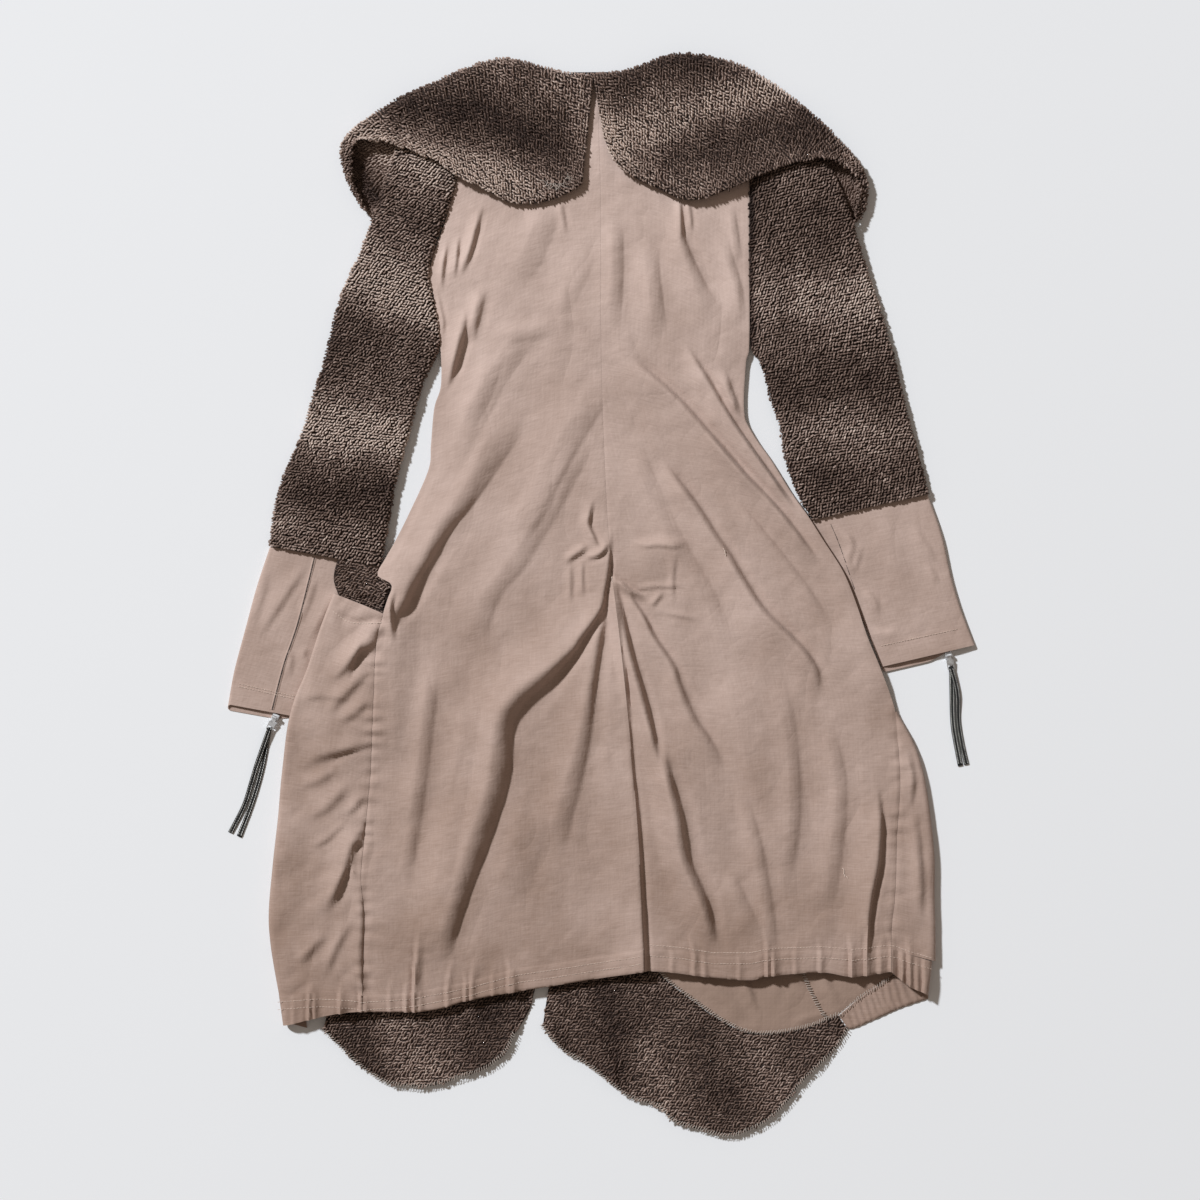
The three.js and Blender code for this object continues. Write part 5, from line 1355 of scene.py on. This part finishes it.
sleeves, sleeve_tops, cuffs, cuff_tops = {}, {}, {}, {}
for side in ("left", "right"):
    outer, inner, upper = flat_tube(SLEEVE_ROWS[side], 96, 24, 9, KNIT_WALL, sleeve_relief)
    ring_tone = np.full(outer.shape[:2], BARE_KNIT)
    # painted shade: the sleeve's upper face under its loops is painted near black
    ring_tone[:, upper] = LOOP_GAP_SHADE
    sleeves[side] = shell(side + "_sleeve", outer, inner, KNIT_GROUND, closed=True, tone=ring_tone)
    sleeve_tops[side] = outer[:, upper]
    outer, inner, upper = flat_tube(CUFF_ROWS[side], 64, 48, 8, 1.2, cuff_relief, mouth=7)
    cuff_tops[side] = outer[:, upper]
    cuffs[side] = shell(side + "_cuff", outer, inner, COTTON, closed=True)
print("sleeve rings", sleeve_tops["left"].shape)

# %% [markdown]
# ## The collar
# The collar is one wide knit band that folds over itself. Seen from behind it is a leaf that lies on the
# shoulders, turns under at the upper outline and comes back below. Its table gives the fold, the free edge
# and the hidden end.

# %% Collar halves
LIP, COLLAR_CURL = 10, 4.5   # width of the leaf past its corner, and how far its free edge curls up
# Columns: x and y of the fold, of the free edge and of the hidden end, and the height of the leaf.
COLLAR_ROWS = {
    "left": [(-7.8, 623, -22, 490, -12, 594, 14.5), (-42, 624, -46, 476, -42, 582, 15),
             (-84, 635, -78, 467, -82, 588, 15.5), (-120, 641, -110, 469, -114, 584, 16),
             (-162, 629, -140, 485, -154, 576, 17), (-202, 611, -172, 500, -186, 560, 17.5),
             (-238, 595, -204, 521, -210, 546, 17.5), (-272, 574, -236, 534, -226, 528, 17.5),
             (-296, 556, -266, 542, -230, 510, 17.5), (-310, 534, -293, 538, -234, 492, 16),
             (-306, 508, None, None, -240, 468, 13), (-298, 488, None, None, -246, 444, 10),
             (-287, 468, None, None, -258, 428, 8)],
    "right": [(-9.4, 623, 4, 546, -4, 594, 14.5), (14, 624, 19, 515, 14, 582, 15),
              (44, 631, 44, 496, 44, 588, 15.5), (72, 642, 68, 485, 72, 588, 15.5),
              (96, 647, 96, 472, 98, 588, 16), (126, 644, 120, 472, 126, 584, 16.5),
              (162, 635, 146, 481, 156, 572, 17), (198, 616, 175, 493, 182, 558, 17.5),
              (234, 590, 210, 508, 204, 544, 17.5), (266, 563, 240, 517, 222, 532, 17.5),
              (294, 534, 270, 520, 240, 510, 17.5), (312, 510, 296, 508, 246, 486, 16),
              (319, 490, None, None, 250, 468, 13), (317, 470, None, None, 258, 448, 10),
              (312, 452, None, None, 282, 426, 8)],
}
COLLAR_FOLDS = [
    (1.8, 26, 12, [(-60, 610), (-90, 560), (-100, 500)]),
    (1.5, 24, 12, [(-170, 600), (-190, 560), (-196, 530)]), (1.8, 26, 12, [(60, 610), (74, 560), (70, 510)]),
    (1.6, 24, 12, [(150, 610), (166, 560), (160, 510)]), (1.4, 20, 10, [(220, 580), (226, 550), (222, 525)]),
]


def collar_half(name, rows, lengthwise=110, columns=34):
    """The piece, the part of its face that shows from above, and that of its lower run."""
    full = []
    for fx, fy, sx, sy, ex, ey, rise in rows:
        if sx is None:
            share = LIP / np.hypot(ex - fx, ey - fy)
            sx, sy = fx + (ex - fx) * share, fy + (ey - fy) * share
        full.append((fx, fy, sx, sy, ex, ey, rise))
    s = curve(full, lengthwise)
    fold, free, end, rise = s[:, :2], s[:, 2:4], s[:, 4:6], s[:, 6]
    share = np.linspace(0, 1, columns + 1)[None, :, None]
    grid = free[:, None] + (fold - free)[:, None] * share
    top_of_row = rise[:, None]

    def height(xy):
        x, y = xy[..., 0], xy[..., 1]
        soft = folds_at(x, y, COLLAR_FOLDS) + 0.8 * cloth_noise(x, y, 52, 71)
        soft += 0.4 * cloth_noise(x, y, 20, 72)
        return top_of_row + soft * ease((top_of_row - 12) / 3) * 0.8

    outer, inner = turned_sheet(grid, height, np.full((len(grid), 1), KNIT_WALL / 2), end, KNIT_WALL, turn=10,
                                back=5)
    curl = COLLAR_CURL * ease(1 - np.arange(columns + 1) / 14)
    for face in (outer, inner):
        face[:, :columns + 1, 2] += curl
    outer[:, 0, 2] -= 1.4
    tone = np.full(outer.shape[:2], BARE_KNIT)
    # painted shade: the collar's face under its loops is painted near black
    tone[:, :columns + 7] = LOOP_GAP_SHADE
    piece = shell(name, outer, inner, KNIT_GROUND, tone=tone)
    return piece, outer[:, :columns + 8], inner[:, columns + 6:]


collars, collar_tops, collar_unders = {}, {}, {}
for side in ("left", "right"):
    collars[side], collar_tops[side], collar_unders[side] = collar_half(side + "_collar", COLLAR_ROWS[side])

# %% Pocket facing and neck tape
facing_grid = patch([(-315, 41), (-319, 18), (-310, -8)], [(-247, 18), (-256, -4), (-261, -26)],
                    [(-315, 41), (-292, 38), (-268, 31), (-247, 18)], [(-310, -8), (-285, -19), (-261, -26)],
                    24, 16)
FACING_REST = 8.6
facing, facing_top = panel("pocket_facing_knit", facing_grid, lambda x, y: FACING_REST + 0 * x, 2.2,
                           KNIT_GROUND)
# painted shade: the facing's ground under its loops is painted near black
put_values(facing.data, "tone", [LOOP_GAP_SHADE] * len(facing.data.vertices), vector=False)
tape_grid = patch([(-36, 625.1), (-36, 623.8)], [(10, 625.3), (10, 624)], [(-36, 625.1), (10, 625.3)],
                  [(-36, 623.8), (10, 624)], 20, 3)
tape_height = lambda x, y: 6 + 0.3 * cloth_noise(x, y, 12, 81)
tape, _ = panel("neck_tape_edge", tape_grid, tape_height, 5, TAPE, rims=(0.1,) * 4)

# %% [markdown]
# ## Laying the loops
# The lattice gives the places, the stitch tree lays the yarn. Loops that another piece hides are left out.

# %% Knit loops on sleeves, collar and facing
def keep_loops(places, keep):
    return tuple(values[keep] for values in places)


loops = {}
for side in ("left", "right"):
    places = loop_places(sleeve_tops[side], trim=0)
    leaf = collar_tops[side]
    leaf_ring = np.concatenate([leaf[:, 0, :2], leaf[::-1, -4, :2]])
    x, y = places[0][:, 0], places[0][:, 1]
    hidden = inside_outline(x, y, leaf_ring) & (rim_distance(x, y, leaf_ring) > 5)
    loops[side + "_sleeve"] = lay_stitches(side + "_sleeve_loops", keep_loops(places, ~hidden), KNIT_LOOPS,
                                           Seed=11, **LOOP)
    places = loop_places(collar_tops[side], trim=0)
    under = loop_places(collar_unders[side][72:, ::-1], trim=0)
    seen = np.abs(under[0][:, 0]) > 226
    places = tuple(np.concatenate(pair) for pair in zip(places, keep_loops(under, seen)))
    loops[side + "_collar"] = lay_stitches(side + "_collar_loops", places, KNIT_LOOPS, Seed=12, **LOOP)
loops["facing"] = lay_stitches("facing_loops", loop_places(facing_top), KNIT_LOOPS, Seed=13, **LOOP)


# %% Knit loops on the flat fronts
def loops_on_plan(ring, height, keep, turn, seed):
    """Loops on a piece that lies flat: a straight lattice, turned a little and trimmed by the outline."""
    c, s = np.cos(turn), np.sin(turn)
    centre = ring.mean(0)
    spots, rows = [], []
    for k, v in enumerate(np.arange(-700, 700, COURSE)):
        u = np.arange(-500, 500, WALE) + 0.5 * WALE * (k % 2)
        spots.append(np.stack([centre[0] + u * c - v * s, centre[1] + u * s + v * c], 1))
        rows.append(np.full(len(u), k))
    spots, rows = np.concatenate(spots), np.concatenate(rows)
    near = keep(spots[:, 0], spots[:, 1])
    spots, rows = spots[near], rows[near]
    inside = inside_outline(spots[:, 0], spots[:, 1], ring)
    spots, rows = spots[inside], rows[inside]
    spots += np.random.default_rng(seed).normal(0, 0.45, spots.shape)
    x, y = spots[:, 0], spots[:, 1]
    z = height(x, y)
    gx, gy = height(x + 1, y) - z, height(x, y + 1) - z
    out = np.stack([-gx, -gy, np.ones_like(z)], 1)
    out /= np.linalg.norm(out, axis=1)[:, None]
    run = np.stack([np.full_like(z, c), np.full_like(z, s), gx * c + gy * s], 1)
    points = np.stack([x, y, z], 1)
    return points, out, run, dye_and_shade_tone(points, rows)


shows = lambda x, y: y < np.interp(x, HEM_LINE[:, 0], HEM_LINE[:, 1]) + 9
for side, ring, turn, scatter, seed in (("left", LEFT_FRONT, 0.02, 41, 14),
                                        ("right", RIGHT_FRONT, -0.05, 42, 15)):
    places = loops_on_plan(ring, flap_height, shows, turn, scatter)
    loops[side + "_front"] = lay_stitches(side + "_front_loops", places, KNIT_LOOPS, Seed=seed, **LOOP)
print("loop triangles", sum(len(o.data.loop_triangles) or sum(len(p.vertices) - 2 for p in o.data.polygons)
                            for o in loops.values()))

# %% [markdown]
# ## Sewing
# The casing is held by two rows of topstitching, and raw knit edges are bound with overlock. Both are
# stitches laid along a line, one end to end, the other across the edge and close together.


# %% Stitches along a line
def along_line(points, height, pitch, across=False, slant=0.0, lift=0.2):
    """Places for stitches end to end along a line, or across it."""
    length = np.linalg.norm(np.diff(curve(points, 200), axis=0), axis=1).sum()
    line = curve(points, max(2, int(length / pitch)))
    way = np.gradient(line, axis=0)
    way /= np.linalg.norm(way, axis=1)[:, None]
    x, y = line[:, 0], line[:, 1]
    z = height(x, y)
    slope = (height(x + way[:, 0], y + way[:, 1]) - z)[:, None]
    run = np.concatenate([way, slope], 1)
    if across:
        run = np.stack([-way[:, 1] + slant * way[:, 0], way[:, 0] + slant * way[:, 1], np.zeros(len(way))], 1)
    out = np.repeat([[0.0, 0.0, 1.0]], len(line), 0)
    tone = np.full(len(line), 0.5)
    return np.stack([x, y, z + lift], 1), out, run, tone


TOPSTITCH = dict(Length=0.0029, Thickness=0.0008, Bow=0.0, Lift=0.0007, Turn=0.06)
OVERLOCK = dict(Length=0.0052, Thickness=0.0011, Bow=0.0006, Lift=0.0022, Turn=0.3)
casing_face = lambda x, y: (back_height(x, y) - groove_rows(x, y)
                            + np.interp(hem_line(x) - y, [0, 4], [WOVEN_WALL, CASING_WALL]))
hem_rows = []
for start, end in ((-384, 46), (57, 394)):
    x = np.linspace(start, end, 40)
    for drop in stitch_rows(x):
        hem_rows.append(along_line(np.stack([x, hem_line(x) - drop], 1), casing_face, 3.8))
joined = lambda rows: tuple(np.concatenate(values) for values in zip(*rows))
hem_stitches = lay_stitches("hem_topstitching", joined(hem_rows), TAUPE_THREAD, Seed=21, **TOPSTITCH)

cuff_stitches = {}
for side, top in cuff_tops.items():
    face = lambda x, y: np.interp(x, line[:, 0], line[:, 2])
    rows = []
    for back in (8, 9) if side == "left" else (9,):
        line = top[-back, 8:-8]
        line = line[np.argsort(line[:, 0])]
        rows.append(along_line(line[::4, :2], face, 3.4))
    cuff_stitches[side] = lay_stitches(side + "_cuff_topstitching", joined(rows), TAUPE_THREAD, Seed=28,
                                       **TOPSTITCH)


def cuff_face(x, y, side="right"):
    """The height of the cuff's face, from the nearest of its points."""
    top = cuff_tops[side].reshape(-1, 3)
    return np.array([top[np.argmin((top[:, 0] - a) ** 2 + (top[:, 1] - b) ** 2), 2] for a, b in zip(x, y)])


level = lambda z: lambda x, y: np.full_like(x, z)
# The right cuff's seam, the pocket mouth's stitches, a tack and two thread ends on the back, and a loose
# end of yarn at the collar's corner.
cuff_seam_line = [(276, 84), (286, 60), (296, 31), (304, 8)]
cuff_seam = lay_stitches("right_cuff_seam", along_line(cuff_seam_line, cuff_face, 2.6, lift=0.1),
                         DARK_THREAD, Length=0.0021, Thickness=0.0007, Bow=0.0, Lift=0.0004, Turn=0.15,
                         Seed=29)
face_of_back = lambda x, y: back_height(x, y) + WOVEN_WALL
tack_lines = [[(13, 24), (14, 16)], [(147, 54), (149, 48)], [(290, -328), (291, -334), (294, -337)]]
mouth_line = [(-262, -33), (-286, -34), (-303, -31), (-318, -20)]
mouth_stitches = lay_stitches("pocket_mouth_topstitching", along_line(mouth_line, face_of_back, 3.4),
                              TAUPE_THREAD, Seed=32, **TOPSTITCH)
tack_places = joined([along_line(line, face_of_back, 2.6) for line in tack_lines])
back_tacks = lay_stitches("back_thread_ends", tack_places, TAUPE_THREAD, Length=0.0045, Thickness=0.0008,
                          Bow=0.0008, Lift=0.0014, Turn=0.5, Seed=30)
loose_line = [(-68, 491), (-56, 486), (-44, 488), (-36, 498)]
loose_yarn = lay_stitches("collar_loose_yarn", along_line(loose_line, level(23.0), 2.4), OVERLOCK_THREAD,
                          Length=0.009, Thickness=0.0006, Bow=0.004, Lift=0.004, Turn=2.6, Seed=31)


def overlock(name, line, height, seed, pitch=3.0, slant=0.5, lift=0.2):
    places = along_line(line, height, pitch, across=True, slant=slant, lift=lift)
    return lay_stitches(name, places, OVERLOCK_THREAD, Seed=seed, **OVERLOCK)


seam_overlock = overlock("front_seam_overlock", moved(FRONT_SEAM[5:], 0.8, 2.0), level(4.6), 22)
casing_overlock = overlock("front_casing_overlock", [(287, -503), (311, -482), (330, -470), (345, -460)],
                           level(CASING_WALL + 2.0), 26)
side_overlock = overlock("front_side_overlock", [(238, -440), (248, -466), (262, -494), (270, -506)],
                         lambda x, y: inner_side_height(x, y) + 0.9, 27)
hem_overlocks = {name: overlock(name + "_overlock", moved(line, 0, 1.4), flap_height, 23, pitch=3.1,
                                slant=0.4, lift=1.5)
                 for name, line in (("left_front", LEFT_FRONT_LINES[1][1]), ("right_front", RIGHT_HEM))}

# %% Zips
ZIPS = {"left": [(-342.5, 44), (-361, -30), (-379, -84), (-393, -137)],
        "right": [(366, 108), (392, 50), (408, 0), (424, -64)]}
ZIP_PROFILE = [(-2.4, 0.1), (-2.1, 0.5), (-0.8, 0.6), (-0.6, 0.2), (0.6, 0.2), (0.8, 0.6), (2.1, 0.5),
               (2.4, 0.1)]
zips, coils = {}, {}
for side, points in ZIPS.items():
    path = curve(points, 60)
    way = np.gradient(path, axis=0)
    way /= np.linalg.norm(way, axis=1)[:, None]
    across = np.stack([-way[:, 1], way[:, 0]], 1)
    # The left strip lies on the cuff, the right one on the floor below it.
    base = cuff_face(path[:, 0], path[:, 1], "left") - 0.1 if side == "left" else np.zeros(len(path))
    over = np.stack([np.column_stack([path + across * w, base + h]) for w, h in ZIP_PROFILE], 1)
    under = over.copy()
    under[..., 2] = base[:, None] - 0.3 * (side == "left")
    zips[side] = shell(side + "_zip", over, under, COTTON)
    on_strip = lambda x, y: np.interp(y, path[::-1, 1], base[::-1]) + 0.3
    coils[side] = lay_stitches(side + "_zip_coil", along_line(points, on_strip, 0.9, across=True),
                               TAPE, Length=0.0014, Thickness=0.0007, Bow=0.0, Lift=0.0006, Turn=0.02,
                               Seed=24)

# %% [markdown]
# ## Leather pulls
# Each pull is one strip of leather, doubled through the metal tab. Both strands are made as one strip along
# a line of stations, with its edges rounded, and a row of pale stitches runs inside each edge.

# %% Straps
SLIDER_BAR, TAB_LENGTH, TAB_TILT, TAB_BAR = 7.4, 18, np.radians(14), 1.5
STRAP_WIDTH, STRAP_LOOP_WIDTH, STRAP_THICKNESS, STRAP_LOOP = 6, 5.4, 1.9, 2.15
# Each: slider, direction of the tab in degrees, which strand is on top, and rows of x, y, spread of the
# strands, lift.
PULLS = {
    "left": ((-389.9, -146.6), -116, 1, [(-405, -190.5, 4.6, 2.1), (-409.5, -207, 6.6, 2.1),
                                         (-415.5, -228, 7.6, 0), (-424, -254.5, 7.6, 0),
                                         (-438.7, -287.5, 11.5, 0)]),
    "right": ((417, -72.3), -78, -1, [(423.8, -108, 4.6, 2.1), (425, -122.5, 6.5, 2.1), (425.6, -145, 6.7, 0),
                                      (427, -161, 6.7, 0), (430.8, -182.5, 6.8, 0), (435.4, -204, 7.6, 0)]),
}


def strap_stations(at, turn, over, rows):
    """Columns: point, way across, width."""
    along = np.array([np.cos(np.radians(turn)), np.sin(np.radians(turn))])
    reach = TAB_LENGTH - TAB_BAR / 2
    bar_x, bar_z = np.cos(TAB_TILT) * reach, SLIDER_BAR - np.sin(TAB_TILT) * reach
    low = STRAP_THICKNESS / 2 + 0.05
    loop = []
    for degrees in (60, 90, 120, 150, 180, 210, 240, 270, 290):
        a = np.radians(degrees)
        x = bar_x + STRAP_LOOP * np.cos(a)
        loop.append([at[0] + along[0] * x, at[1] + along[1] * x, max(low, bar_z + STRAP_LOOP * np.sin(a)),
                     -along[1], along[0], 0, STRAP_LOOP_WIDTH])

    def strand(way, upper):
        made = []
        for i, (x, y, spread, lift) in enumerate(rows):
            a, b = rows[max(0, i - 1)], rows[min(len(rows) - 1, i + 1)]
            length = np.hypot(b[0] - a[0], b[1] - a[1])
            cx, cy = -(b[1] - a[1]) / length, (b[0] - a[0]) / length
            made.append([x + cx * way * spread / 2, y + cy * way * spread / 2, low + (lift if upper else 0),
                         cx, cy, 0, STRAP_WIDTH])
        return made

    return np.array(strand(-over, True)[::-1] + loop + strand(over, False))


def strap(name, stations):
    """The strip, and the places for the stitches on those of its faces that show from above."""
    point, across, width = stations[:, :3], stations[:, 3:6], stations[:, 6:7]
    across = across / np.linalg.norm(across, axis=1)[:, None]
    way = np.gradient(point, axis=0)
    up = np.cross(across, way)
    up /= np.linalg.norm(up, axis=1)[:, None]
    profile = [(-1, -0.35), (-0.86, -0.9), (-0.6, -1), (0.6, -1), (0.86, -0.9), (1, -0.35), (1, 0.35),
               (0.86, 0.9), (0.6, 1), (0, 1.06), (-0.6, 1), (-0.86, 0.9), (-1, 0.35)]
    rings = np.stack([point + across * width / 2 * u + up * STRAP_THICKNESS / 2 * v for u, v in profile], 1)
    rows, corners = rings.shape[:2]
    at = np.arange(rows * corners).reshape(rows, corners)
    following = np.roll(at, -1, 1)
    quads = np.stack([at[:-1], following[:-1], following[1:], at[1:]], -1).reshape(-1, 4).tolist()
    faces = quads + [at[0][::-1].tolist(), at[-1].tolist()]
    made = new_piece(name, rings.reshape(-1, 3), faces, LEATHER)
    mesh = made.data
    if sum(p.area * p.normal.dot(p.center) for p in mesh.polygons) < 0:
        mesh.flip_normals()
    along = distance_along(point)
    spots = np.arange(2, along[-1] - 2, 3.0)
    pick = lambda values: np.stack([np.interp(spots, along, values[:, k]) for k in range(3)], 1)
    p, a, n, w = pick(point), pick(across), pick(up), pick(way)
    seen = (n[:, 2] > 0.35) | (n[:, 2] < -0.97)
    p, a, n, w = p[seen], a[seen], n[seen] * np.where(n[seen, 2:] < 0, -1, 1), w[seen]
    places = [p + a * (STRAP_WIDTH / 2 - 1.3) * side + n * (STRAP_THICKNESS / 2 + 0.03) for side in (-1, 1)]
    return made, (np.concatenate(places), np.tile(n, (2, 1)), np.tile(w, (2, 1)), np.full(2 * len(p), 0.5))


straps, strap_threads = {}, {}
for side, pull in PULLS.items():
    straps[side], places = strap(side + "_leather_pull", curve(strap_stations(*pull), 90))
    strap_threads[side] = lay_stitches(side + "_pull_stitching", places, PALE_THREAD, Length=0.0022,
                                       Thickness=0.001, Bow=0.0, Lift=0.0004, Slant=0.35, Turn=0.2, Seed=25)

# %% [markdown]
# ## Putting the pieces on their bodies
# Every piece rides on a body and stands for the imported solid that it replaces, which is hidden.

# %% Cut sizes of the cloth
# Each row: piece, imported node, slot, cut width and length in metres, cut area in square metres, how it is
# held, what it rests on, and the sewing that goes with it.
CLOTH = [
    (left_back, "back_left", "woven", (0.35, 1.06), 0.300, "laid", ["front_left", "front_right"],
     [hem_stitches, back_tacks]),
    (right_back, "back_right", "woven", (0.36, 1.06), 0.300, "laid", ["front_right", "front_side_right"], []),
    (left_side, "side_left", "woven", (0.24, 0.54), 0.093, "folded", [], [mouth_stitches]),
    (right_side, "side_right", "woven", (0.13, 0.33), 0.026, "folded", [], []),
    (left_casing, "hem_casing_back_left", "woven", (0.40, 0.03), 0.0105, "gathered", ["front_left"], []),
    (right_casing, "hem_casing_back_right", "woven", (0.36, 0.035), 0.0105, "gathered", ["front_right"], []),
    (left_corner, "hem_casing_side_left", "woven", (0.16, 0.05), 0.0045, "folded", [], []),
    (right_corner, "hem_casing_side_right", "woven", (0.11, 0.05), 0.0035, "folded", [], []),
    (front_casing, "hem_casing_front_right", "woven", (0.12, 0.04), 0.0034, "gathered", [],
     [casing_overlock]),
    (front_side, "front_side_right", "woven", (0.29, 1.06), 0.170, "laid", [],
     [seam_overlock, side_overlock]),
    (left_front, "front_left", "knit", (0.26, 1.16), 0.225, "laid", [],
     [loops["left_front"], hem_overlocks["left_front"]]),
    (right_front, "front_right", "knit", (0.37, 1.22), 0.165, "laid", [],
     [loops["right_front"], hem_overlocks["right_front"]]),
    (sleeves["left"], "sleeve_left", "knit", (0.28, 0.52), 0.130, "folded", [], [loops["left_sleeve"]]),
    (sleeves["right"], "sleeve_right", "knit", (0.32, 0.50), 0.135, "folded", [], [loops["right_sleeve"]]),
    (cuffs["left"], "cuff_left", "woven", (0.28, 0.20), 0.053, "folded", [], [cuff_stitches["left"]]),
    (cuffs["right"], "cuff_right", "woven", (0.29, 0.20), 0.047, "folded", [],
     [cuff_stitches["right"], cuff_seam]),
    (collars["left"], "collar_left", "knit", (0.24, 0.42), 0.060, "folded", [],
     [loops["left_collar"], loose_yarn]),
    (collars["right"], "collar_right", "knit", (0.24, 0.46), 0.066, "folded", [], [loops["right_collar"]]),
    (facing, "pocket_facing", "knit", (0.08, 0.05), 0.0024, "laid", [], [loops["facing"]]),
    (tape, "neck_tape", "tape", (0.046, 0.010), 0.0004, "folded", [], []),
]
for piece, cad_node, slot, flat, area, held, rests_on, sewing in CLOTH:
    for extra in sewing:
        tell(extra, [], slot)
    half_surface = sum(p.area for p in piece.data.polygons) / 2
    print(f"{piece.name}: surface {half_surface:.4f} m2, cut {area} m2")
    tell(piece, [cad_node], slot, flat=flat, area=area, held=held, rests_on=rests_on, with_pieces=sewing)
for side in ("left", "right"):
    tell(coils[side], [], "tape")
    tell(zips[side], ["zip_" + side], "tape")
    tell(strap_threads[side], [], "leather", body="pull_" + side)
    tell(straps[side], ["pull_strap_" + side], "leather", body="pull_" + side)
    for metal_node in ("zip_slider_" + side, "pull_tab_" + side):
        piece = frame["nodes"][metal_node]
        piece.data.materials.clear()
        piece.data.materials.append(NICKEL)

# %% Sizes, and the end
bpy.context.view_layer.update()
added = sum(len(p.vertices) - 2 for o in bpy.data.objects if o.type == "MESH" and o.name not in frame["nodes"]
            for p in o.data.polygons)
print("triangles added in all", added)
